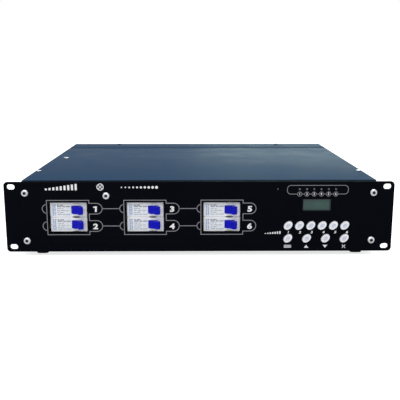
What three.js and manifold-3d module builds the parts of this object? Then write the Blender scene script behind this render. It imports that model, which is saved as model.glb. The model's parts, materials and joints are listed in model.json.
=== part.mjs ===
// Rack dimmer pack, two units high: six stacked circuit breakers, a key and display panel,
// a power board with six chokes, a cooled thyristor rail and a rear wiring compartment.
// Millimetres, +Z up. The front panel faces -Y and the wiring compartment is at +Y.
import * as THREE from "three";
import { mergeVertices } from "three/addons/utils/BufferGeometryUtils.js";
import Module from "manifold-3d";

const wasm = await Module();
wasm.setup();

// Overall sizes: a 19 inch panel, two rack units high, on a case that stands on four feet
const panelWidth = 482.6;
const panelHeight = 88.9;
const panelThickness = 3;
const panelCornerRadius = 3;
const earWidth = 16.9;
const caseDepth = 401;
const footHeight = 8;

// Sheet thicknesses, and the gap left between pieces that rest on each other
const traySheet = 1.5;
const coverSheet = 1.2;
const rearSheet = 1.5;
const seatGap = 0.3;
const cutOverrun = 1;
const mergeDistance = 0.0001;

// How the panel's edges stand past the tray's underside and past the top cover
const panelDrop = 1.8;
const coverDrop = 1.5;

// Rack slots, 465.1 apart across and 76.2 apart in height on a 19 inch panel of two units, and
// how far the split line between each ear and the middle of the panel lies from the case
const rackSlotSideInset = 8.75;
const rackSlotEdgeInset = 6.35;
const rackSlotLength = 10.5;
const rackSlotHeight = 7;
const earLineClearance = 0.5;

// Panel screws: four at the corners of the case and one between the first two windows
const screwSideInset = 9.1;
const screwTopInset = 13.8;
const screwBottomInset = 14.5;
const middleScrewDrop = 17.3;
const screwHeadRadius = 4.75;
const screwHeadHeight = 2.75;
const screwShankRadius = 2.4;
const screwShankLength = 10;
const screwHoleRadius = 2.8;
const screwFlatShare = 0.55;
const screwCrownShare = 0.84;
const screwCrownHeightShare = 0.72;
const screwRimHeightShare = 0.2;
const screwSocketAcrossFlats = 3;
const screwSocketDepth = 1.7;

// Circuit breakers: two modules behind each window, in as many columns as the case has room for
const breakerRows = 2;
const breakerPitchX = 95.5;
const breakerSideGap = 18.2;
const breakerBoardGap = 15;
const breakerMiddleHeight = 43.55;
const moduleWidth = 18.75;
const moduleGap = 0.4;
const noseLength = 45.6;
const noseDepth = 17;
const noseChamfer = 1;
const noseRecess = 4;
const breakerLength = 80;
const breakerDepth = 62;
const breakerBackChamfer = 3;
const railNotchWidth = 36;
const railNotchDepth = 6;
const windowMarginX = 1;
const windowMarginZ = 1;
const windowCornerRadius = 1;
const wallWindowMargin = 3;

// Breaker levers: each turns on an axis along the module's width, and leans to its off side
const leverPivotX = 9.4;
const leverPivotDepth = 2.5;
const leverWidth = 9.7;
const leverHubRadius = 6;
const leverLength = 12.7;
const leverRootThickness = 6.6;
const leverTipThickness = 5.2;
const leverTipChamfer = 0.8;
const leverLean = THREE.MathUtils.degToRad(38);
const leverClearance = 0.3;
const leverWellMargin = 0.6;
const leverNotchChord = 11;
const leverNotchSagitta = 1.3;
const leverNotchDepth = 3;

// Keys: slanted ovals with a dished face, six above and four below
const keyLongRadius = 6.1;
const keyShortRadius = 4.6;
const keySlant = THREE.MathUtils.degToRad(43);
const keyStandOut = 3.2;
const keyRimDrop = 0.35;
const keySideDrop = 1.1;
const keyRimInset = 0.35;
const keyDishRadius = 4;
const keyDishEdgeDrop = 0.15;
const keyDishDepth = 0.7;
const keyDishMiddleRadiusShare = 0.6;
const keyDishMiddleDepthShare = 0.7;
const keyClearance = 0.35;
const keyFlange = 1.1;
const keyFlangeThickness = 1;
const keyStemRadius = 2.6;
const keyTravel = 1;
const keyRowLength = 70.8;
const keyRowShift = 4.5;
const upperKeyHeight = 33.3;
const lowerKeyHeight = 16.8;
const upperKeyCount = 6;
const lowerKeyNames = ["menu_button", "up_button", "down_button", "escape_button"];

// Indicators: six channel lamps on one holder, and one single lamp
const lampDrop = 9.7;
const lampRowShift = 4.8;
const lampRadius = 1.5;
const lampStandOut = 1;
const lampShoulderShare = 0.7;
const lampHoleClearance = 0.2;
const channelLampPitch = 8.95;
const statusLampInset = 10.8;
const lampHolderHeight = 4.6;
const lampHolderMargin = 3;
const lampHolderFront = 4.5;
const statusLampBodyRadius = 2.3;

// Display: its glass lies a little behind the panel's window
const displayShift = 4.8;
const displayRise = 2.6;
const displayWindowWidth = 35.5;
const displayWindowHeight = 15.6;
const displayBodyMargin = 2;
const displayGlassFront = 3.4;

// Control board behind the keys, on four pillars that stand on the panel
const boardThickness = 1.6;
const controlBoardFront = 13;
const controlSideGap = 24.4;
const controlBoardWidth = 111;
const controlBoardRise = 6.8;
const controlBoardDrop = 5.6;
const pillarRadius = 3;
const pillarInset = 3.5;
const switchSize = 6;
const switchHeight = 4.3;
const switchPlungerSize = 2.6;
const switchPlungerHeight = 0.8;
const chipLength = 22;
const chipHeight = 14;
const chipThickness = 3;
const chipRise = 36;

// Front wall of the tray: the opening behind the keys and the flange under the cover's front edge
const controlOpeningMargin = 3;
const controlOpeningSill = 1.5;
const controlOpeningHead = 0.8;
const frontFlangeDepth = 34;
const sideFlangeWidth = 18;
const rearFlangeWidth = 12;

// Covers: the main one, and the wiring cover behind it with a groove between them
const coverFront = 21;
const coverLipHeight = 12;
const wiringDepth = 59;
const coverSeam = 6;

// Pan-head screws on the covers: a pair by the panel, an earth screw, and a pair at the rear
const coverScrewRadius = 3;
const coverScrewHeight = 1.5;
const coverScrewRounding = 0.7;
const coverScrewSideInset = 5.7;
const coverScrewFrontY = 90;
const earthScrewRadius = 4;
const earthScrewSideInset = 18.6;
const earthScrewY = 215;
const rearScrewInsetX = 81.3;
const rearScrewInsetY = 11;

// Ventilation slots in the side walls and under the heat sink
const ventWidth = 3.2;
const ventPitch = 6.2;
const ventHeight = 50;
const ventBottom = 20;
const floorVentPitch = 16;
const floorVentLength = 34;

// Feet
const footTopRadius = 8.5;
const footBottomRadius = 7.4;
const footEdgeRounding = 1;
const footScrewRadius = 2;
const footCounterboreRadius = 4;
const footCounterboreDepth = 4;
const footSideInset = 22.1;
const footFrontY = 21;
const footRearInset = 28;

// Rail bracket behind the breakers
const railFlangeWidth = 35;
const railWebWidth = 25;
const railDepth = 7.5;
const railSheet = 1;
const bracketSheet = 1.5;
const bracketMargin = 6;
const bracketTopGap = 4.8;
const bracketFootDepth = 16;

// Power board, its standing parts and the six chokes
const powerBoardGap = 4.2;
const powerBoardSinkGap = 4;
const powerBoardLeftGap = 15.4;
const powerBoardRightGap = 71.4;
const powerBoardLift = 5;
const powerPillarRadius = 3.5;
const powerPillarInset = 7;
const thyristorWidth = 16;
const thyristorHeight = 22;
const thyristorThickness = 5;
const transformerWidth = 36;
const transformerDepth = 36;
const transformerHeight = 34;
const capacitorWidth = 26;
const capacitorDepth = 12;
const capacitorHeight = 20;
const capacitorGap = 12;
const transformerGap = 7;
const transformerSideGap = 2;
const chokeInset = 34;
const chokePitch = 54;
const chokeRowInset = 40;
const chokeOuterRadius = 24;
const chokeBoreRadius = 8;
const chokeThickness = 24;
const chokeRounding = 5;

// Heat sink: a vertical base with fins that run along the case, blown through by the fan
const sinkRearGap = 10;
const sinkBaseThickness = 6;
const sinkDepth = 56;
const sinkTopGap = 6.8;
const sinkFinThickness = 2;
const sinkFinCount = 9;
const sinkSideGap = 25.4;
const sinkFanGap = 12.1;

// Fan on the right side wall
const fanSize = 60;
const fanDepth = 25;
const fanBoreRadius = 28.5;
const fanBladeRadius = 27;
const fanHubRadius = 12;
const fanBaseThickness = 3;
const fanStrutWidth = 4;
const fanStrutCount = 4;
const fanBladeCount = 7;
const fanBladeThickness = 1.6;
const fanBladeChord = 17;
const fanBladePitch = THREE.MathUtils.degToRad(35);
const fanHubLength = 20;
const fanPinRadius = 2;
const fanPinLength = 12;
const fanScrewHoleRadius = 2;
const fanScrewSpacing = 50;

// Divider between the case and the wiring compartment
const dividerLead = 7;
const dividerSheet = 1.5;
const dividerFlangeDepth = 20;
const dividerFlangeInset = 2;
const dividerNotchWidth = 44;
const dividerNotchHeight = 16;
const dividerNotchInset = 98;

// Supply terminal block
const terminalCount = 5;
const terminalPitch = 16;
const terminalDepth = 24;
const terminalHeight = 30;
const terminalWall = 2;
const terminalStepHeight = 14;
const terminalStepDepth = 15;
const terminalGap = 17.5;

// Rear panel
const rearFlangeDepth = 18;
const rearFlangeInset = 5.5;

// Supply cable gland
const glandSideInset = 71.4;
const glandHeight = 44;
const glandBoreRadius = 10;
const glandThreadRadius = 15.5;
const glandThreadClearance = 0.3;
const glandNutAcrossFlats = 38;
const glandNutThickness = 5;
const glandHexAcrossFlats = 36;
const glandHexThickness = 7;
const glandNeckRadius = 15;
const glandNeckLength = 2;
const glandCapLength = 14;
const glandDomeLength = 5;
const glandMouthRadius = 12;

// Load connector: housing, insert and locking lever
const loadX = 10;
const loadHeight = 48;
const loadFlangeLength = 104;
const loadFlangeHeight = 46;
const loadFlangeThickness = 3;
const loadHousingLength = 92;
const loadHousingHeight = 38;
const loadHousingDepth = 26;
const loadHousingWall = 4;
const loadInsertClearance = 0.3;
const loadInsertRecess = 6;
const loadInsertBehind = 14;
const loadContactRows = 2;
const loadContactColumns = 8;
const loadContactRadius = 1.6;
const loadContactPitchX = 8.5;
const loadContactPitchZ = 11;
const loadContactDepth = 10;
const loadPinRadius = 2.5;
const loadPinRise = 14;
const loadPinLength = 4.4;
const loadPinClearance = 0.3;
const loadLeverSheet = 2;
const loadLeverEyeRadius = 5.5;
const loadLeverReach = 30;
const loadLeverStrapWidth = 10;

// Control signal sockets
const signalSideInset = 71.4;
const signalPitch = 38;
const signalHeight = 48;
const signalFlangeWidth = 26;
const signalFlangeHeight = 31;
const signalFlangeThickness = 2;
const signalFlangeCorner = 3;
const signalBarrelRadius = 11.8;
const signalBarrelLength = 22;
const signalHoleClearance = 0.5;
const signalBoreRadius = 9.5;
const signalBoreDepth = 15;
const signalPinCount = 3;
const signalPinRadius = 1.2;
const signalPinCircle = 4.4;
const signalPinRecess = 1.8;
const signalCoreRadius = 7.5;
const signalHoleRadius = 1.4;
const signalHoleDepth = 9;
const latchWidth = 6;
const latchHeight = 2;
const latchLength = 9;
const latchStandOut = 2;
const latchTravel = 1.2;
const latchClearance = 0.3;

// Heights and depths that follow from the sizes above
const panelBottom = footHeight - panelDrop;
const panelTop = panelBottom + panelHeight;
const caseWidth = panelWidth - 2 * earWidth;
const coverTop = panelTop - coverDrop;
const coverUnder = coverTop - coverSheet;
const trayTop = coverUnder - seatGap;
const trayHalfWidth = caseWidth / 2 - coverSheet - seatGap;
const trayInside = trayHalfWidth - traySheet;
const trayFloor = footHeight + traySheet;
const trayFront = panelThickness + seatGap;
const rearPanelFront = caseDepth - rearSheet;
const trayRear = rearPanelFront - seatGap;
const rearSeat = caseDepth + seatGap;
const breakerMiddle = panelBottom + breakerMiddleHeight;
const pairHeight = moduleWidth * breakerRows;

// Places along the width: the controls keep to the right wall and the breakers to the left one
const controlBoardRight = trayInside - controlSideGap;
const controlBoardLeft = controlBoardRight - controlBoardWidth;
const controlMiddleX = (controlBoardLeft + controlBoardRight) / 2;
const displayX = controlMiddleX + displayShift;
const lampRowX = controlMiddleX + lampRowShift;
const statusLampX = controlBoardLeft + statusLampInset;
const breakerFirstX = breakerSideGap + breakerLength / 2 - trayInside;
const breakerRoom = controlBoardLeft - breakerBoardGap - breakerLength / 2 - breakerFirstX;
const breakerColumns = Math.floor(breakerRoom / breakerPitchX) + 1;
const powerBoardLeft = powerBoardLeftGap - trayInside;
const powerBoardRight = trayInside - powerBoardRightGap;
const transformerLeft = powerBoardRight - transformerWidth;
const chokeFirstX = powerBoardLeft + chokeInset;
const chokeRoom = transformerLeft - transformerSideGap - capacitorWidth / 2 - chokeFirstX;
const chokeCount = Math.floor(chokeRoom / chokePitch) + 1;
const sinkLeft = sinkSideGap - trayInside;
const sinkRight = trayInside - seatGap - fanDepth - sinkFanGap;
const glandX = trayInside - glandSideInset;
const signalOutX = signalSideInset - trayInside;
const signalInX = signalOutX + signalPitch;

// Places along the depth: the bracket behind the breakers, and what stands in front of the divider
const railFront = noseRecess + breakerDepth - railNotchDepth + seatGap;
const railBack = railFront + railDepth;
const powerBoardFront = railBack + bracketFootDepth + powerBoardGap;
const chokeRowY = powerBoardFront + chokeRowInset;
const wiringCoverFront = caseDepth - wiringDepth;
const dividerFront = wiringCoverFront - dividerLead;
const terminalFront = dividerFront + dividerSheet + terminalGap;
const sinkBaseFront = dividerFront - sinkRearGap - sinkDepth;
const powerBoardBack = sinkBaseFront - powerBoardSinkGap;

// Counts of facets on round stretches
const cornerSteps = 3;
const smallSides = 8;
const holeSides = 12;
const ovalSides = 16;
const roundSides = 16;

// A closed geometry as a solid that can be cut and joined
function solid(geometry) {
  const bare = geometry.index ? geometry.toNonIndexed() : geometry.clone();
  bare.deleteAttribute("normal");
  bare.deleteAttribute("uv");
  const merged = mergeVertices(bare, mergeDistance);
  const index = merged.index.array;
  const kept = [];
  for (let i = 0; i < index.length; i += 3) {
    const [a, b, c] = [index[i], index[i + 1], index[i + 2]];
    if (a !== b && b !== c && c !== a) kept.push(a, b, c);
  }
  const vertProperties = merged.attributes.position.array;
  return new wasm.Manifold(new wasm.Mesh({ numProp: 3, vertProperties, triVerts: new Uint32Array(kept) }));
}

// A solid back as a geometry
function geometryOf(made) {
  const mesh = made.getMesh();
  const positions = new Float32Array(mesh.numVert * 3);
  for (let i = 0; i < mesh.numVert; i++) {
    positions.set(mesh.vertProperties.subarray(i * mesh.numProp, i * mesh.numProp + 3), i * 3);
  }
  return new THREE.BufferGeometry()
    .setAttribute("position", new THREE.BufferAttribute(positions, 3))
    .setIndex(new THREE.BufferAttribute(mesh.triVerts, 1));
}

const join = (...parts) => parts.reduce((all, one) => all.add(one));
const cut = (body, ...tools) => tools.reduce((left, tool) => left.subtract(tool), body);
const listOf = (count, make) => Array.from({ length: count }, (_, i) => make(i));

// Points of an arc, ends included
function arc(x, y, radiusX, radiusY, from, to, steps) {
  return listOf(steps + 1, (i) => {
    const angle = from + ((to - from) * i) / steps;
    return new THREE.Vector2(x + radiusX * Math.cos(angle), y + radiusY * Math.sin(angle));
  });
}

const rectangle = (left, bottom, right, top) =>
  [[left, bottom], [right, bottom], [right, top], [left, top]].map(([x, y]) => new THREE.Vector2(x, y));

function roundedRectangle(left, bottom, right, top, radius, steps = cornerSteps) {
  const quarter = Math.PI / 2;
  return [
    ...arc(right - radius, top - radius, radius, radius, 0, quarter, steps),
    ...arc(left + radius, top - radius, radius, radius, quarter, 2 * quarter, steps),
    ...arc(left + radius, bottom + radius, radius, radius, 2 * quarter, 3 * quarter, steps),
    ...arc(right - radius, bottom + radius, radius, radius, 3 * quarter, 4 * quarter, steps),
  ];
}

function circle(x, y, radius, sides = holeSides) {
  return arc(x, y, radius, radius, 0, 2 * Math.PI, sides).slice(0, -1);
}

// An oval whose long axis leans away from the first axis
function slantedOval(x, y, longRadius, shortRadius, slant, sides = ovalSides) {
  return arc(0, 0, longRadius, shortRadius, 0, 2 * Math.PI, sides)
    .slice(0, -1)
    .map((p) => p.rotateAround(new THREE.Vector2(), slant).add(new THREE.Vector2(x, y)));
}

// A slot with round ends along the first axis
function slotOutline(x, y, length, height, steps = 2 * cornerSteps) {
  const reach = (length - height) / 2;
  return [
    ...arc(x + reach, y, height / 2, height / 2, -Math.PI / 2, Math.PI / 2, steps),
    ...arc(x - reach, y, height / 2, height / 2, Math.PI / 2, 1.5 * Math.PI, steps),
  ];
}

function polygonAcrossFlats(x, y, acrossFlats, sides = 6) {
  return circle(x, y, acrossFlats / 2 / Math.cos(Math.PI / sides), sides);
}

// The axes that an outline's two directions and its length run along, for a prism along X, Y or Z
const axis = (i) => new THREE.Vector3().setComponent(i, 1);
const alongX = [axis(1), axis(2), axis(0)];
const alongY = [axis(0), axis(2), axis(1).negate()];
const alongZ = [axis(0), axis(1), axis(2)];

function extruded(outline, from, to, axes) {
  const shape = new THREE.Shape(outline);
  const geometry = new THREE.ExtrudeGeometry(shape, { depth: to - from, bevelEnabled: false });
  geometry.translate(0, 0, from);
  return geometry.applyMatrix4(new THREE.Matrix4().makeBasis(...axes));
}

function prism(outline, from, to, holes, axes) {
  const tools = holes.map((points) => solid(extruded(points, from - cutOverrun, to + cutOverrun, axes)));
  return cut(solid(extruded(outline, from, to, axes)), ...tools);
}

// An outline in Y and Z, in X and Z or in X and Y, pushed along the third axis
const prismX = (outline, from, to, holes = []) => prism(outline, from, to, holes, alongX);
const prismY = (outline, from, to, holes = []) => prism(outline, -to, -from, holes, alongY);
const prismZ = (outline, from, to, holes = []) => prism(outline, from, to, holes, alongZ);

const blockGeometry = (x0, x1, y0, y1, z0, z1) => extruded(rectangle(x0, y0, x1, y1), z0, z1, alongZ);
const block = (...corners) => solid(blockGeometry(...corners));

// A turned geometry about +Y from points [radius, place along the axis], whichever way they run
function turned(profile, sides = roundSides) {
  const points = profile.map(([radius, y]) => new THREE.Vector2(radius, y));
  const forward = THREE.ShapeUtils.area(points) > 0;
  return new THREE.LatheGeometry(forward ? points : points.reverse(), sides);
}

// Turns a geometry made about +Y so that it stands along +Z
const upright = (geometry) => geometry.rotateX(Math.PI / 2);

// Materials by what the pieces are made of
function finish(color, roughness, metalness) {
  return new THREE.MeshStandardMaterial({ color, roughness, metalness });
}

const materials = {
  panelBlack: finish(0x0b0c10, 0.45, 0.1),
  caseBlue: finish(0x2c3f52, 0.5, 0.3),
  steel: finish(0xb9bcc4, 0.3, 0.9),
  breakerWhite: finish(0xe8eaee, 0.5, 0),
  leverBlue: finish(0x1216c4, 0.4, 0),
  keyWhite: finish(0xdcdcee, 0.45, 0),
  lampClear: finish(0xb8c0c8, 0.2, 0),
  lampRed: finish(0x5a1018, 0.3, 0),
  displayGreen: finish(0x3f5850, 0.35, 0),
  boardGreen: finish(0x1d5a36, 0.6, 0),
  rubber: finish(0x141414, 0.85, 0),
  aluminium: finish(0xb4b7ba, 0.4, 0.9),
  copper: finish(0xa65a2a, 0.45, 0.6),
  blackPlastic: finish(0x17181a, 0.6, 0),
  greyPlastic: finish(0x8d9297, 0.6, 0),
};

const unit = new THREE.Group();

// Adds one named piece, and returns its mesh so that it can be placed
function piece(name, made, material, group = unit) {
  const mesh = new THREE.Mesh(geometryOf(made), material);
  mesh.name = name;
  group.add(mesh);
  return mesh;
}

// Places that several pieces share

const breakerPlaces = listOf(breakerColumns * breakerRows, (i) => {
  const column = Math.floor(i / breakerRows);
  const row = i % breakerRows;
  return {
    x: breakerFirstX + column * breakerPitchX,
    z: breakerMiddle + moduleWidth * ((breakerRows - 1) / 2 - row),
  };
});

const windowCentres = listOf(breakerColumns, (i) => breakerFirstX + i * breakerPitchX);

const keyRowMiddle = controlMiddleX + keyRowShift;
const keyX = (i, count) => keyRowMiddle + (i / (count - 1) - 1 / 2) * keyRowLength;
const upperKeyZ = panelBottom + upperKeyHeight;
const keyPlaces = [
  ...listOf(upperKeyCount, (i) => ({
    name: `channel_button_${i + 1}`,
    x: keyX(i, upperKeyCount),
    z: upperKeyZ,
  })),
  ...lowerKeyNames.map((name, i) => ({
    name,
    x: keyX(i, lowerKeyNames.length),
    z: panelBottom + lowerKeyHeight,
  })),
];

const lampZ = panelTop - lampDrop;
const channelLampXs = listOf(upperKeyCount, (i) =>
  lampRowX + (i - (upperKeyCount - 1) / 2) * channelLampPitch);
const displayZ = (upperKeyZ + lampZ) / 2 + displayRise;

const screwX = caseWidth / 2 - screwSideInset;
const screwHigh = panelTop - screwTopInset;
const screwLow = panelBottom + screwBottomInset;
const screwPlaces = [
  [-screwX, screwHigh],
  [screwX, screwHigh],
  [-screwX, screwLow],
  [screwX, screwLow],
  [breakerFirstX + breakerPitchX / 2, panelTop - middleScrewDrop],
];

const boardLow = panelBottom + controlBoardRise;
const boardHigh = panelTop - controlBoardDrop;
const pillarPlaces = [controlBoardLeft + pillarInset, controlBoardRight - pillarInset].flatMap((x) =>
  [boardLow + pillarInset, boardHigh - pillarInset].map((z) => [x, z]),
);

const footX = trayHalfWidth - footSideInset;
const footPlaces = [footFrontY, caseDepth - footRearInset].flatMap((y) => [-footX, footX].map((x) => [x, y]));

const fanY = sinkBaseFront + sinkDepth / 2;
const fanZ = trayFloor + seatGap + fanSize / 2;

// The 19 inch panel: two ears with rack slots, and the middle with its windows, holes and pillars
function frontPanel() {
  const earLine = caseWidth / 2 + earLineClearance;
  const halfWindowX = noseLength / 2 + windowMarginX;
  const halfWindowZ = pairHeight / 2 + windowMarginZ;
  const windowLow = breakerMiddle - halfWindowZ;
  const windowHigh = breakerMiddle + halfWindowZ;
  const windows = windowCentres.map((x) =>
    roundedRectangle(x - halfWindowX, windowLow, x + halfWindowX, windowHigh, windowCornerRadius, 2));
  const displayWindow = rectangle(displayX - displayWindowWidth / 2, displayZ - displayWindowHeight / 2,
    displayX + displayWindowWidth / 2, displayZ + displayWindowHeight / 2);
  const holeLong = keyLongRadius + keyClearance;
  const holeShort = keyShortRadius + keyClearance;
  const keyHoles = keyPlaces.map(({ x, z }) => slantedOval(x, z, holeLong, holeShort, keySlant));
  const lampHole = lampRadius + lampHoleClearance;
  const lampHoles = [statusLampX, ...channelLampXs].map((x) => circle(x, lampZ, lampHole));
  const screwHoles = screwPlaces.map(([x, z]) => circle(x, z, screwHoleRadius));
  const middle = prismY(rectangle(-earLine, panelBottom, earLine, panelTop), 0, panelThickness,
    [...windows, displayWindow, ...keyHoles, ...lampHoles, ...screwHoles]);

  const quarter = Math.PI / 2;
  const radius = panelCornerRadius;
  const ears = [-1, 1].map((side) => {
    const end = panelWidth / 2 - radius;
    const outline = [
      new THREE.Vector2(earLine, panelBottom),
      ...arc(end, panelBottom + radius, radius, radius, -quarter, 0, cornerSteps),
      ...arc(end, panelTop - radius, radius, radius, 0, quarter, cornerSteps),
      new THREE.Vector2(earLine, panelTop),
    ].map((point) => new THREE.Vector2(side * point.x, point.y));
    const slots = [panelBottom + rackSlotEdgeInset, panelTop - rackSlotEdgeInset].map((z) =>
      slotOutline(side * (panelWidth / 2 - rackSlotSideInset), z, rackSlotLength, rackSlotHeight));
    return prismY(outline, 0, panelThickness, slots);
  });

  const pillars = pillarPlaces.map(([x, z]) =>
    prismY(circle(x, z, pillarRadius), panelThickness - seatGap, controlBoardFront - seatGap));
  return join(middle, ...ears, ...pillars);
}

// Button-head screw with a hexagon socket, its head seated on the panel at the origin
function panelScrew() {
  const head = solid(turned([
    [0, -screwHeadHeight],
    [screwHeadRadius * screwFlatShare, -screwHeadHeight],
    [screwHeadRadius * screwCrownShare, -screwHeadHeight * screwCrownHeightShare],
    [screwHeadRadius, -screwHeadHeight * screwRimHeightShare],
    [screwHeadRadius, 0],
    [screwShankRadius, 0],
    [screwShankRadius, screwShankLength],
    [0, screwShankLength],
  ], holeSides));
  const socket = prismY(polygonAcrossFlats(0, 0, screwSocketAcrossFlats), -screwHeadHeight - cutOverrun,
    screwSocketDepth - screwHeadHeight);
  return cut(head, socket);
}

// The folded tray: floor, side walls with top flanges, front wall and rear flanges
function tray() {
  const flangeIn = trayHalfWidth - sideFlangeWidth;
  const flangeUnder = trayTop - traySheet;
  const section = [
    [-trayHalfWidth, footHeight], [trayHalfWidth, footHeight], [trayHalfWidth, trayTop], [flangeIn, trayTop],
    [flangeIn, flangeUnder], [trayInside, flangeUnder], [trayInside, trayFloor], [-trayInside, trayFloor],
    [-trayInside, flangeUnder], [-flangeIn, flangeUnder], [-flangeIn, trayTop], [-trayHalfWidth, trayTop],
  ].map(([x, z]) => new THREE.Vector2(x, z));
  const folded = prismY(section, trayFront, trayRear);

  const halfX = noseLength / 2 + windowMarginX + wallWindowMargin;
  const halfZ = pairHeight / 2 + windowMarginZ + wallWindowMargin;
  const openings = windowCentres.map((x) =>
    rectangle(x - halfX, breakerMiddle - halfZ, x + halfX, breakerMiddle + halfZ));
  const controls = rectangle(controlBoardLeft - controlOpeningMargin, boardLow - controlOpeningSill,
    controlBoardRight + controlOpeningMargin, boardHigh + controlOpeningHead);
  const screwHoles = screwPlaces.map(([x, z]) => circle(x, z, screwHoleRadius));
  const frontWall = prismY(rectangle(-trayHalfWidth, footHeight, trayHalfWidth, trayTop), trayFront,
    trayFront + traySheet, [...openings, controls, ...screwHoles]);
  const frontFlange = block(-trayInside, trayInside, trayFront, frontFlangeDepth, flangeUnder, trayTop);
  const rearFlanges = [-1, 1].map((side) => {
    const ends = [side * trayHalfWidth, side * (trayHalfWidth - rearFlangeWidth)];
    return block(Math.min(...ends), Math.max(...ends), trayRear - traySheet, trayRear, footHeight, trayTop);
  });

  const wallIn = trayInside - cutOverrun;
  const wallOut = trayHalfWidth + cutOverrun;
  const exhaustCount = Math.floor(sinkDepth / ventPitch);
  const exhaust = listOf(exhaustCount, (i) => {
    const y = fanY + (i - (exhaustCount - 1) / 2) * ventPitch;
    const outline = rectangle(y - ventWidth / 2, ventBottom, y + ventWidth / 2, ventBottom + ventHeight);
    return prismX(outline, -wallOut, -wallIn);
  });
  const intakeCount = 2 * Math.floor(fanBladeRadius / ventPitch);
  const intake = listOf(intakeCount, (i) => {
    const offset = (i - (intakeCount - 1) / 2) * ventPitch;
    const half = Math.sqrt(fanBladeRadius ** 2 - offset ** 2);
    const y = fanY + offset;
    const outline = rectangle(y - ventWidth / 2, fanZ - half, y + ventWidth / 2, fanZ + half);
    return prismX(outline, wallIn, wallOut);
  });
  const floorVentCount = Math.floor((sinkRight - sinkLeft) / floorVentPitch);
  const floorVents = listOf(floorVentCount, (i) => {
    const x = (sinkLeft + sinkRight) / 2 + (i - (floorVentCount - 1) / 2) * floorVentPitch;
    return block(x - ventWidth / 2, x + ventWidth / 2, fanY - floorVentLength / 2, fanY + floorVentLength / 2,
      footHeight - cutOverrun, trayFloor + cutOverrun);
  });
  const footHoles = footPlaces.map(([x, y]) =>
    prismZ(circle(x, y, footScrewRadius), footHeight - cutOverrun, trayFloor + cutOverrun));
  const walls = join(folded, frontWall, frontFlange, ...rearFlanges);
  return cut(walls, ...exhaust, ...intake, ...floorVents, ...footHoles);
}

// Pan head of a cover screw, standing on the cover
function panHead(x, y, radius) {
  const head = upright(turned([
    [0, coverUnder],
    [radius, coverUnder],
    [radius, coverTop + coverScrewHeight - coverScrewRounding],
    [radius - coverScrewRounding, coverTop + coverScrewHeight],
    [0, coverTop + coverScrewHeight],
  ], holeSides));
  return solid(head.translate(x, y, 0));
}

// A cover: a flat sheet with a lip down each side, from one depth to another, and its screws
function cover(from, to, screws) {
  const half = caseWidth / 2;
  const lipEnd = coverTop - coverLipHeight;
  const section = [
    [-half, lipEnd], [coverSheet - half, lipEnd], [coverSheet - half, coverUnder],
    [half - coverSheet, coverUnder], [half - coverSheet, lipEnd], [half, lipEnd], [half, coverTop],
    [-half, coverTop],
  ].map(([x, z]) => new THREE.Vector2(x, z));
  return join(prismY(section, from, to), ...screws);
}

// Rear panel: a plate with the connector cut-outs, and a flange that the wiring cover is screwed to
function rearPanel() {
  const insertHalfX = loadHousingLength / 2 - loadHousingWall + seatGap;
  const insertHalfZ = loadHousingHeight / 2 - loadHousingWall + seatGap;
  const signalHole = signalBarrelRadius + signalHoleClearance;
  const holes = [
    circle(glandX, glandHeight, glandThreadRadius + glandThreadClearance, roundSides),
    rectangle(loadX - insertHalfX, loadHeight - insertHalfZ, loadX + insertHalfX, loadHeight + insertHalfZ),
    circle(signalInX, signalHeight, signalHole, roundSides),
    circle(signalOutX, signalHeight, signalHole, roundSides),
  ];
  const outline = rectangle(-trayHalfWidth, footHeight, trayHalfWidth, trayTop);
  const plate = prismY(outline, rearPanelFront, caseDepth, holes);
  const flangeHalf = trayHalfWidth - sideFlangeWidth - rearFlangeInset;
  const flange = block(-flangeHalf, flangeHalf, caseDepth - rearFlangeDepth, caseDepth, trayTop - rearSheet,
    trayTop);
  return join(plate, flange);
}

// Divider wall, folded back at the top under the covers' seam, with two passages for the cores
function divider() {
  const half = trayInside - seatGap;
  const inner = trayHalfWidth - sideFlangeWidth - dividerFlangeInset;
  const bottom = trayFloor + seatGap;
  const shoulder = trayTop - traySheet - seatGap;
  const back = dividerFront + dividerSheet;
  const wall = block(-half, half, dividerFront, back, bottom, shoulder);
  const neck = block(-inner, inner, dividerFront, back, shoulder - cutOverrun, trayTop);
  const flange = block(-inner, inner, dividerFront, dividerFront + dividerFlangeDepth,
    trayTop - dividerSheet, trayTop);
  const notchX = trayInside - dividerNotchInset;
  const notches = [-notchX, notchX].map((x) =>
    block(x - dividerNotchWidth / 2, x + dividerNotchWidth / 2, dividerFront - cutOverrun, back + cutOverrun,
      bottom - cutOverrun, bottom + dividerNotchHeight));
  return cut(join(wall, neck, flange), ...notches);
}

// Foot with a counterbored screw hole, standing on the origin
function foot() {
  const height = footHeight - seatGap;
  return solid(upright(turned([
    [footScrewRadius, height],
    [footTopRadius, height],
    [footBottomRadius, footEdgeRounding],
    [footBottomRadius - footEdgeRounding, 0],
    [footCounterboreRadius, 0],
    [footCounterboreRadius, footCounterboreDepth],
    [footScrewRadius, footCounterboreDepth],
    [footScrewRadius, height],
  ], roundSides)));
}

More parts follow.
